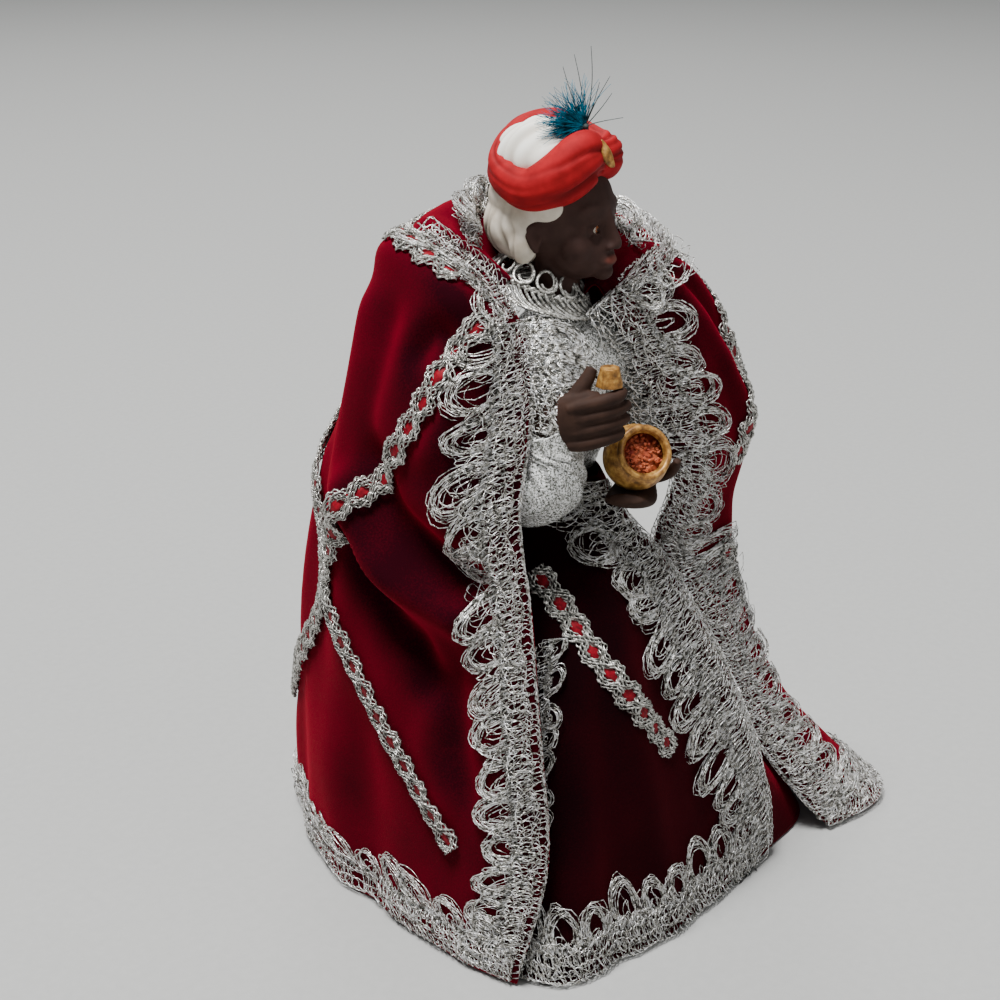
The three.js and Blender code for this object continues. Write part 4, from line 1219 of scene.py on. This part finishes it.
class CRIB_OT_head(bpy.types.Operator):
    """Models the head with its hair and turban"""
    bl_idname = "crib.head"
    bl_label = "Head"

    def execute(self, context):
        turn = head_turn()
        parts = [self.face(), *self.eyes(), self.hair()]
        for part in parts:
            settle(part, turn)
        parts += self.turban(turn)
        finish(joined("painted_head", parts), "clay_dark", "head")
        return {"FINISHED"}

    def face(self):
        """The skin: skull, brow, nose, cheeks, chin, neck and ears, then lips and lids laid on."""
        lumps = [
            ball((0, 0, 266), (17, 21.2, 20)), ball((0, 9.4, 252), (12, 12, 10.2)),
            ball((0, 18.6, 245.4), (4.2, 3.6, 3.2)), ball((0, 20.4, 249.4), (5.2, 2.6, 2.6)),
            roll([[0, 20, 266, 1.5, 1.4], [0, 21.6, 262, 1.4, 1.4], [0, 23, 258, 1.6, 1.7],
                  [0, 24, 255.4, 2, 1.8]]),
            ball((0, 20, 259), (2.4, 3.6, 6)), ball((0, 20, 255.5), (3, 3.6, 2.6)),
            ball((0, 23.6, 254.9), (2.1, 1.9, 1.6)), ball((0, 15.6, 267.5), (12, 5.4, 5)),
            roll([[-2, 2, 236.6, 8.2, 8.2], [-1.7, 1.7, 243, 8.4, 8.4], [-1, 1, 254, 9.4, 9.4]], 16, 32),
        ]
        for sign in (-1, 1):
            ear = [[sign * 16.3, 2, 253, 1.2, 1.2], [sign * 17.3, 0.4, 256, 1.2, 1.2],
                   [sign * 17.7, -1, 260, 1.2, 1.3], [sign * 17.2, 1, 262.4, 1.1, 1.2],
                   [sign * 16.4, 3, 260, 1, 1]]
            lumps += [
                roll(ear), ball((sign * 16.4, 1, 257.4), (1, 3, 4)),
                ball((sign * 2.3, 22.2, 254.3), (1.5, 1.7, 1.3)),
                ball((sign * 7.6, 12.6, 254.6), (6.4, 6, 6.4)),
                ball((sign * 5.2, 18.4, 264.6), (4.6, 1.7, 1.1), (0, sign * 0.18, 0)),
                ball((sign * 9, 15, 260.8), (2.6, 3, 3.6)),
            ]
        skin = modelled("skin", lumps, 0.5, 12)
        points = coordinates(skin)
        for sign in (-1, 1):
            points = pressed(points, (sign * 5.5, 19.6, 260.9), (3.4, 3.5, 2.0), (0, -1.9, 0))
            points = pressed(points, (sign * 1.5, 23, 252.9), (0.8, 1.4, 0.6), (0, -0.5, 0.8))
            points = pressed(points, (sign * 3.2, 20.6, 250.2), (1.4, 2.4, 0.5), (0, -0.5, 0))
            points = pressed(points, (sign * 16.8, 1.6, 257.6), (1.4, 1.6, 2), (-sign * 0.9, 0, 0))
        points = pressed(points, (0, 22.6, 252.4), (0.6, 1.6, 1.2), (0, -0.35, 0))
        points = pressed(points, (0, 21.4, 247), (4, 2.4, 0.7), (0, -0.6, 0))
        reshape(skin, points)
        lips = [
            roll([[-3.8, 19.7, 250.1, 0.5, 0.4], [-1.6, 21.5, 250.9, 0.8, 0.7], [0, 21.8, 250.7, 0.8, 0.6],
                  [1.6, 21.5, 250.9, 0.8, 0.7], [3.8, 19.7, 250.1, 0.5, 0.4]]),
            roll([[-3.5, 19.8, 249.8, 0.4, 0.4], [-1.4, 21.4, 249, 0.9, 0.8], [0, 21.7, 248.9, 0.9, 0.9],
                  [1.4, 21.4, 249, 0.9, 0.8], [3.5, 19.8, 249.8, 0.4, 0.4]]),
        ]
        lids = []
        for sign in (-1, 1):
            lids.append(ball((sign * 8.1, 17.0, 260.3), (1.3, 1.2, 1.7)))
            for height, wide, thick in ((1.9, 0.5, 0.6), (-1.6, 0.4, 0.45)):
                line = []
                for a in np.linspace(0, math.pi, 9):
                    x, z = -2.7 * math.cos(a), height * math.sin(a)
                    ahead = math.sqrt(EYE_RADIUS**2 - (x * 0.95)**2 - z**2)
                    line.append([sign * EYE[0] + x, EYE[1] + ahead, EYE[2] + z, wide, thick])
                lids.append(roll(line, 20, 10))
        skin = joined("skin", [skin, *lips, *lids])
        apply_modifier(skin, "REMESH", mode="VOXEL", voxel_size=0.5)
        apply_modifier(skin, "SMOOTH", factor=0.5, iterations=3)
        points = coordinates(skin)
        mouth = np.exp(-((((points - [0, 21.8, 249.9]) / [3.9, 2.6, 1.5]) ** 2).sum(axis=1)) ** 3)
        paint(skin, "lips", mouth)
        return coat(smooth(skin), "skin")

    def eyes(self):
        """Painted eyes that look straight ahead."""
        parts = []
        for sign in (-1, 1):
            eye = ball((sign * 5.4, 16.7, 260.9), (2.3, 2.5, 1.9), segments=48)
            for finish_name in ("eye white", "iris", "pupil"):
                eye.data.materials.append(finish_of(finish_name))
            gaze = np.array([sign * EYE[0] + 0.1, 19.2, EYE[2]])
            for polygon in eye.data.polygons:
                away = np.linalg.norm(np.array(polygon.center) - gaze)
                polygon.material_index = 2 if away < PUPIL_RADIUS else 1 if away < IRIS_RADIUS else 0
                polygon.use_smooth = True
            parts.append(eye)
        return parts

    def hair(self):
        """White hair from the temples to the nape, with a few soft grooves."""
        locks = [ball((0, -9.4, 259.6), (17.8, 16, 14.2), segments=64), ball((0, -4, 268), (17.9, 14, 8)),
                 ball((1, -7, 269), (18.4, 17, 12.5), segments=64)]
        for sign in (-1, 1):
            for place, half in HAIR_LUMPS:
                locks.append(ball((sign * place[0], *place[1:]), half))
        hair = modelled("hair", locks, 0.66, 7)
        points = coordinates(hair)
        offset = points - [0, -6, 270]
        angle = np.arctan2(offset[:, 1], offset[:, 0])
        fall = np.clip((271 - points[:, 2]) / 14, 0, 1)
        groove = np.zeros(len(points))
        for place, depth in HAIR_GROOVES:
            bend = 0.07 * np.sin(points[:, 2] * 0.3 + place * 5)
            groove += depth * np.exp(-(((angle - place - bend) / 0.06) ** 2))
        groove *= fall
        points = points - unit(offset * [1, 1, 0]) * (groove * 1.2)[:, None]
        reshape(hair, points)
        # Painted shade in the grooves, darkest where they are deepest.
        paint(hair, "hollow_shade", np.clip(groove * 0.8, 0, 0.8))
        return coat(hair, "hair")

    def turban(self, turn):
        """The rolled red brim, with the white crown in it and the leaf jewel in front."""
        path = []
        for degrees, radius, rise, half_across, half_high in BRIM:
            angle = math.radians(degrees)
            side, front = -radius * math.sin(angle), radius * math.cos(angle)
            up = BRIM_HEIGHT + BRIM_LEAN[0] * side + BRIM_LEAN[1] * front + rise
            path.append([side, front - 1, up, half_across, half_high])
        around, tube = 176, 66
        values = spline_shares(len(path), np.linspace(0, 1, around, endpoint=False), True) @ np.array(path)
        centre = values[:, :3]
        going = unit(np.roll(centre, -1, 0) - np.roll(centre, 1, 0))
        x = np.linspace(0, FULL_TURN, around, endpoint=False)[:, None]
        ring = np.linspace(0, FULL_TURN, tube, endpoint=False)[None]
        fold = np.zeros((around, tube))
        for start, twist, width, depth in BRIM_CREASES:
            gap = (ring - start - twist * np.sin(x * 0.5 + start) + math.pi) % FULL_TURN - math.pi
            fold += depth * np.exp(-((gap / width) ** 2)) * (0.6 + 0.4 * np.cos(2 * x + start))
        size = 1 - fold
        points = tube_points(centre, going, size * values[:, 3:4], size * values[:, 4:5], tube)
        faces = [[a, d, c, b] for a, b, c, d in grid_faces(around, tube, loop=True)]
        brim = new_piece("brim", points / MM, faces)
        # Painted shade in the creases of the roll.
        paint(brim, "hollow_shade", np.clip(fold.ravel() * 5, 0, 0.8))
        coat(brim, "turban")
        return [settle(part, turn) for part in (brim, self.crown(), self.jewel())]

    def crown(self):
        """The white cloth inside the brim, in soft lumps with four creases."""
        middle = (-1.6, -3, 283)
        crown = ball(middle, (16.2, 17, 12.8), segments=104)
        points = coordinates(crown)
        across = points[:, 1] * 0.8 - points[:, 0] * 0.6
        along = points[:, 1] * 0.6 + points[:, 0] * 0.8
        crease = np.zeros(len(points))
        for place, width, depth in CROWN_CREASES:
            bend = 1.4 * np.sin(along * 0.16 + place)
            crease += depth * np.exp(-(((across - place - bend) / width) ** 2))
        lumps = 0.5 * np.sin(across * 0.5 + 1) * np.sin(along * 0.35)
        points = points + unit(points - middle) * (lumps - crease)[:, None]
        reshape(crown, points)
        # Painted shade in the creases.
        paint(crown, "hollow_shade", np.clip(crease * 0.5, 0, 0.6))
        return coat(smooth(crown), "crown")

    def jewel(self):
        """A gold leaf with a ridge down its middle."""
        leaf = ball((0, 0, 0), (2.9, 1.3, 5.2), segments=48)
        points = coordinates(leaf)
        taper = np.clip(1 - (points[:, 2] / 5.2) ** 2 * 0.5, 0, 1)
        points[:, 0] *= taper * (1 - 0.25 * points[:, 2] / 5.2)
        points[:, 1] += 0.5 * np.exp(-((points[:, 0] / 0.5) ** 2))
        lean = Matrix.Rotation(0.35, 3, "X") @ Matrix.Rotation(-0.3, 3, "Y")
        points = points @ np.array(lean).T
        points = points + [-3.4, 20.7, 286]
        reshape(leaf, points)
        return coat(smooth(leaf), "gold")


class CRIB_OT_hands(bpy.types.Operator):
    """Models both hands"""
    bl_idname = "crib.hands"
    bl_label = "Hands"

    def execute(self, context):
        place = Matrix.Translation((*CENTRE, 0)) @ Matrix.Rotation(-TURN, 4, "Z")
        palm = [[-8, -33.6, 196.6, 4.8, 5.4], [-3.2, -35.6, 198.6, 4.8, 8.6], [2, -36.8, 200, 4.6, 10.4],
                [8, -37.2, 201.6, 4.4, 10.2], [13, -37.2, 202.8, 3.8, 9.6], [16, -37, 203.4, 2.8, 8.4]]
        lumps = [roll(palm, 24, 28)]
        for k, reach in enumerate((22.4, 24.4, 24, 21.8)):
            up = 208.6 - 4.5 * k
            lumps.append(roll([[4, -39, up - 2.6 + 0.3 * k, 2.4, 2.4], [10, -39.4, up - 1, 2.6, 2.6],
                               [16, -39.2, up + 0.6, 2.7, 2.5], [20.6, -37, up + 1.6, 2.5, 2.3],
                               [reach, -33.6, up + 2.2, 1.9, 1.8]], 20, 14))
        thumb = [[0, -36.4, 203, 4, 4], [6, -35.6, 209, 3.3, 3.2], [10, -34.4, 214.6, 2.8, 2.6],
                 [12, -33.4, 218.8, 1.9, 1.9]]
        lumps.append(roll(thumb))
        right = modelled("painted_hand_right", lumps, 0.4, 2)
        finish(coat(settle(right, place), "hands"), "clay_dark", "hand_right")
        palm = [[29.4, -0.4, 176.2, 4.8, 4.4], [29.4, -6, 172.2, 5.6, 4], [28.6, -13, 169.3, 7.4, 3.4],
                [27, -22, 168.2, 9, 3], [25.4, -29, 169.4, 8.4, 2.6], [24.6, -33, 171.8, 6, 1.8]]
        thumb = [[34, -10, 171, 2.6, 2.6], [38.6, -14, 173.6, 2.3, 2.3], [41.6, -18, 177.6, 2, 2],
                 [42.6, -20.6, 181.4, 1.4, 1.4]]
        left = modelled("painted_hand_left", [roll(palm, 24, 24), roll(thumb)], 0.45, 4)
        finish(coat(settle(left, place), "hands"), "clay_dark", "hand_left")
        return {"FINISHED"}


# Jar

JAR_CENTRE = (28, -22, 183)
JAR_AXIS = (0.3, -0.8, 0.5)
RIM_ROLL = 1.15
RIM_PLACE = (8.7, 8.4)
CRUMB_GAP = 0.4
LID_PLACE = (17.8, -34.4, 216.2)


def turned(name, profile, around=96):
    """A turned body round the jar's own axis, from [radius, height] points in mm."""
    values = np.array(profile, float)
    angles = turns(around)
    rows = len(values)
    radius, height = values[:, :1], values[:, 1:]
    side, front = radius * np.cos(angles), radius * np.sin(angles)
    points = np.stack([side, front, np.broadcast_to(height, (rows, around))], axis=-1).reshape(-1, 3)
    points = np.concatenate([points, [[0, 0, values[0, 1]], [0, 0, values[-1, 1]]]])
    faces = grid_faces(rows, around) + cap_faces(rows, around, rows * around, rows * around + 1)
    return new_piece(name, points / MM, faces)


def arc(radius, start, end, count, out=0.0, up=0.0):
    """Points [radius, height] along an arc, with angles from the top down."""
    return [[out + radius * math.sin(a), up + radius * math.cos(a)] for a in np.linspace(start, end, count)]


def jar_seat():
    """The jar's tilted axis and place."""
    axis = Vector(in_frame(JAR_AXIS) - in_frame((0, 0, 0))).normalized()
    turn = Vector((0, 0, 1)).rotation_difference(axis).to_matrix().to_4x4()
    return Matrix.Translation(in_frame(JAR_CENTRE)) @ turn


class CRIB_OT_jar(bpy.types.Operator):
    """Turns the gold jar, fills it and cuts its lid"""
    bl_idname = "crib.jar"
    bl_label = "Jar and lid"

    def execute(self, context):
        sizes = context.scene.crib_jar
        seat = jar_seat()
        bore = sizes.radius - sizes.wall
        outside = arc(sizes.radius, math.pi * 0.995, math.pi * 0.27, 26)
        rim = arc(RIM_ROLL, math.pi / 2 + 0.3, -math.pi / 2 - 0.5, 14, *RIM_PLACE)
        inside = arc(bore, math.pi * 0.24, math.pi * 0.99, 20)
        jar = turned("gold_jar", outside + rim + inside)
        finish(coat(settle(jar, seat), "gold"), "gold_paint", "jar")
        crumbs = self.crumbs(bore - CRUMB_GAP)
        finish(coat(settle(crumbs, seat), "crumbs"), "resin", "myrrh")
        self.lid()
        return {"FINISHED"}

    def crumbs(self, radius):
        """A heap that fills the jar, strewn with crumbs of resin."""
        dice = random.Random(61)
        low = arc(radius, math.pi * 0.99, math.pi * 0.42, 14)
        parts = [turned("heap", low + [[radius * 0.85, 3.6], [radius * 0.5, 4.4], [radius * 0.2, 4.6]])]
        for _ in range(150):
            angle, away = dice.uniform(0, ANY_ANGLE), 8.0 * math.sqrt(dice.random())
            bpy.ops.object.select_all(action="DESELECT")
            bpy.ops.mesh.primitive_ico_sphere_add(
                subdivisions=1, radius=dice.uniform(0.5, 1.1),
                location=(away * math.cos(angle), away * math.sin(angle), 4.5 + dice.uniform(-0.3, 0.9)),
                rotation=(dice.uniform(0, 3), dice.uniform(0, 3), 0),
                scale=(1, dice.uniform(0.5, 1), dice.uniform(0.5, 1)),
            )
            parts.append(bpy.context.object)
        return joined("myrrh_crumbs", parts)

    def lid(self):
        """An eight-sided lid with softened edges."""
        bpy.ops.object.select_all(action="DESELECT")
        bpy.ops.mesh.primitive_cone_add(vertices=8, radius1=5, radius2=3.4, depth=6.6)
        lid = bpy.context.object
        lid.name = "gold_lid"
        apply_modifier(lid, "BEVEL", width=0.35, segments=2)
        place = Matrix.Translation(in_frame(LID_PLACE))
        finish(coat(settle(lid, place @ Matrix.Rotation(0.3, 4, "Z")), "gold"), "gold_paint", "lid")


# Feather

PLUME_ROOT = (8.6, -9.4, 294.6)
PLUME_FACING = (0.6, 0.7, 0.1)

# The long quills: where each tip is across and up, and how far it bows
QUILLS = [
    (10, 320.6, 1.2), (1, 314, -0.6), (4.6, 318, 0.6), (16.4, 311, -0.5),
    (13, 309, 0.3), (17.2, 305.6, 0.4), (21, 297.6, -1.6), (-12, 285, -0.8),
]


class CRIB_OT_feather(bpy.types.Operator):
    """Sets the plume in the turban"""
    bl_idname = "crib.feather"
    bl_label = "Feather"

    def execute(self, context):
        dice = random.Random(71)
        root = np.array(PLUME_ROOT)
        soft, stiff = Threads(), Threads()
        for _ in range(480):
            headings = [dice.gauss(172, 14), dice.gauss(128, 24), dice.gauss(196, 14)]
            heading = math.radians(dice.choice(headings))
            length = dice.uniform(5, 17)
            bend = dice.uniform(-0.5, 0.5)
            reach = np.linspace(0, 1, 9)
            angle = heading + bend * reach
            across = root[0] + length * reach * np.cos(angle)
            up = root[2] + length * reach * np.sin(angle) + 0.6 * dice.random()
            away = root[1] + reach * length * dice.uniform(-0.3, 0.3) + dice.uniform(-0.5, 0.5)
            line = in_frame(np.stack([across, away, up], axis=1))
            soft.add(line, np.broadcast_to(PLUME_FACING, line.shape), 0.2 * (1 - 0.7 * reach))
        for across, up, bow in QUILLS:
            reach = np.linspace(0, 1, 14)
            line = np.stack([
                root[0] + (across - root[0]) * reach + bow * np.sin(math.pi * reach),
                np.full(14, root[1]) - 0.5 * reach,
                root[2] + (up - root[2]) * reach,
            ], axis=1)
            line = in_frame(line)
            stiff.add(line, np.broadcast_to(PLUME_FACING, line.shape), 0.24 - 0.12 * reach)
        parts = [coat(soft.piece("plume"), "teal"), coat(stiff.piece("quills"), "quill")]
        stem = Threads(8)
        foot = in_frame(np.array([[9.2, -9.8, 291.6], [9, -9.6, 293], root]))
        stem.add(foot, np.broadcast_to(PLUME_FACING, foot.shape), 0.9)
        parts.append(coat(stem.piece("stem"), "quill"))
        knot = ball(tuple(in_frame(root)), (1.2, 1.2, 1.1), segments=16)
        parts.append(coat(settle(knot), "quill"))
        finish(joined("plume", parts), "feather", "feather")
        return {"FINISHED"}


# Stage

# Lights: name, place in metres, size in metres and power
LIGHTS = [
    ("key", (-0.9, -0.05, 3.25), 1.0, 232),
    ("fill", (0.6, -2.6, 1.6), 1.6, 15),
    ("back", (1.2, 2.0, 2.2), 1.2, 30),
]
LIT_SPOT = (0, 0, 0.15)
ROOM_COLOUR = "#C3C7C9"
ROOM_STRENGTH = 0.38
FLOOR_COLOUR = "#A8A8A6"
FLOOR_DROP = 0.0002

# Camera: across, away and up in mm, and how far it looks to the side and down
CAMERA_PLACE = (0, -600, 400)
CAMERA_YAW = math.radians(1.897)
CAMERA_PITCH = math.radians(22)


class CRIB_OT_stage(bpy.types.Operator):
    """Sets the floor, the lights and the camera"""
    bl_idname = "crib.stage"
    bl_label = "Stage"

    def execute(self, context):
        bpy.ops.object.select_all(action="DESELECT")
        bpy.ops.mesh.primitive_plane_add(size=8, location=(0, 0, -FLOOR_DROP))
        floor = bpy.context.object
        floor.name = "pale_floor"
        floor.data.materials.append(plain_material("pale floor", FLOOR_COLOUR, 0.9))
        world = bpy.data.worlds.new("soft room")
        context.scene.world = world
        world.use_nodes = True
        room = world.node_tree.nodes["Background"].inputs
        room["Color"].default_value = linear(ROOM_COLOUR)
        room["Strength"].default_value = ROOM_STRENGTH
        for name, place, size, power in LIGHTS:
            lamp = bpy.data.lights.new(name, "AREA")
            lamp.size = size
            lamp.energy = power
            light = bpy.data.objects.new(name, lamp)
            light.location = place
            ahead = Vector(LIT_SPOT) - Vector(place)
            light.rotation_euler = ahead.to_track_quat("-Z", "Y").to_euler()
            context.scene.collection.objects.link(light)
        self.camera(context)
        return {"FINISHED"}

    def camera(self, context):
        """The photograph's camera: in front of the figure and above it, looking down."""
        view = bpy.data.cameras.new("camera")
        view.sensor_width = 36
        view.lens = 64
        camera = bpy.data.objects.new("camera", view)
        ahead = in_frame((-math.sin(CAMERA_YAW), math.cos(CAMERA_YAW), 0)) - in_frame((0, 0, 0))
        look = Vector(ahead).normalized() * math.cos(CAMERA_PITCH) - Vector((0, 0, math.sin(CAMERA_PITCH)))
        camera.location = in_frame(CAMERA_PLACE) * MM
        camera.rotation_euler = look.to_track_quat("-Z", "Y").to_euler()
        context.scene.collection.objects.link(camera)
        context.scene.camera = camera


class CribCloth(bpy.types.PropertyGroup):
    velvet_thickness: bpy.props.FloatProperty(
        name="Velvet thickness", description="Thickness of the velvet, in mm", default=1.0, min=0.4, max=1.5)
    lace_width: bpy.props.FloatProperty(
        name="Lace width", description="Width of the lace, in mm", default=LACE_WIDTH, min=10, max=30)


class CribJar(bpy.types.PropertyGroup):
    radius: bpy.props.FloatProperty(
        name="Jar radius", description="Outer radius of the jar, in mm", default=11.6, min=5, max=15)
    wall: bpy.props.FloatProperty(
        name="Jar wall", description="Thickness of the jar's wall, in mm", default=1.3, min=0.5, max=3)


class CribPaints(bpy.types.PropertyGroup):
    """Colours in sRGB hex"""
    # The velvet's deep colour shows where the cloth faces the camera, and its lit colour is painted sheen
    # where the cloth turns away.
    velvet_deep: bpy.props.StringProperty(
        name="Velvet, deep", description="Velvet's colour where its pile lies flat", default="#240008")
    velvet_lit: bpy.props.StringProperty(
        name="Velvet, lit", description="Velvet's colour where its pile is lit", default="#760019")
    silver: bpy.props.StringProperty(
        name="Silver", description="Metal thread's colour", default="#CECAC0")


class CRIB_PT_panel(bpy.types.Panel):
    """Lists the steps that build the figure"""
    bl_idname = "CRIB_PT_panel"
    bl_label = "Crib figure"
    bl_space_type = "VIEW_3D"
    bl_region_type = "UI"
    bl_category = "Crib figure"

    def draw(self, context):
        for step in STEPS:
            self.layout.operator(step.bl_idname)


STEPS = [CRIB_OT_lace, CRIB_OT_braid, CRIB_OT_collar, CRIB_OT_velvet, CRIB_OT_tunic, CRIB_OT_head,
         CRIB_OT_hands, CRIB_OT_jar, CRIB_OT_feather, CRIB_OT_stage]
CLASSES = [CribCloth, CribJar, CribPaints, *STEPS, CRIB_PT_panel]


def register():
    for kind in CLASSES:
        bpy.utils.register_class(kind)
    bpy.types.Scene.crib_cloth = bpy.props.PointerProperty(type=CribCloth)
    bpy.types.Scene.crib_jar = bpy.props.PointerProperty(type=CribJar)
    bpy.types.Scene.crib_paints = bpy.props.PointerProperty(type=CribPaints)


def unregister():
    del bpy.types.Scene.crib_cloth
    del bpy.types.Scene.crib_jar
    del bpy.types.Scene.crib_paints
    for kind in reversed(CLASSES):
        bpy.utils.unregister_class(kind)


def main():
    register()
    make_cloths()
    bpy.ops.crib.lace()
    bpy.ops.crib.braid()
    bpy.ops.crib.collar()
    bpy.ops.crib.velvet()
    bpy.ops.crib.tunic()
    bpy.ops.crib.head()
    bpy.ops.crib.hands()
    bpy.ops.crib.jar()
    bpy.ops.crib.feather()
    bpy.ops.crib.stage()


if __name__ == "__main__":
    main()
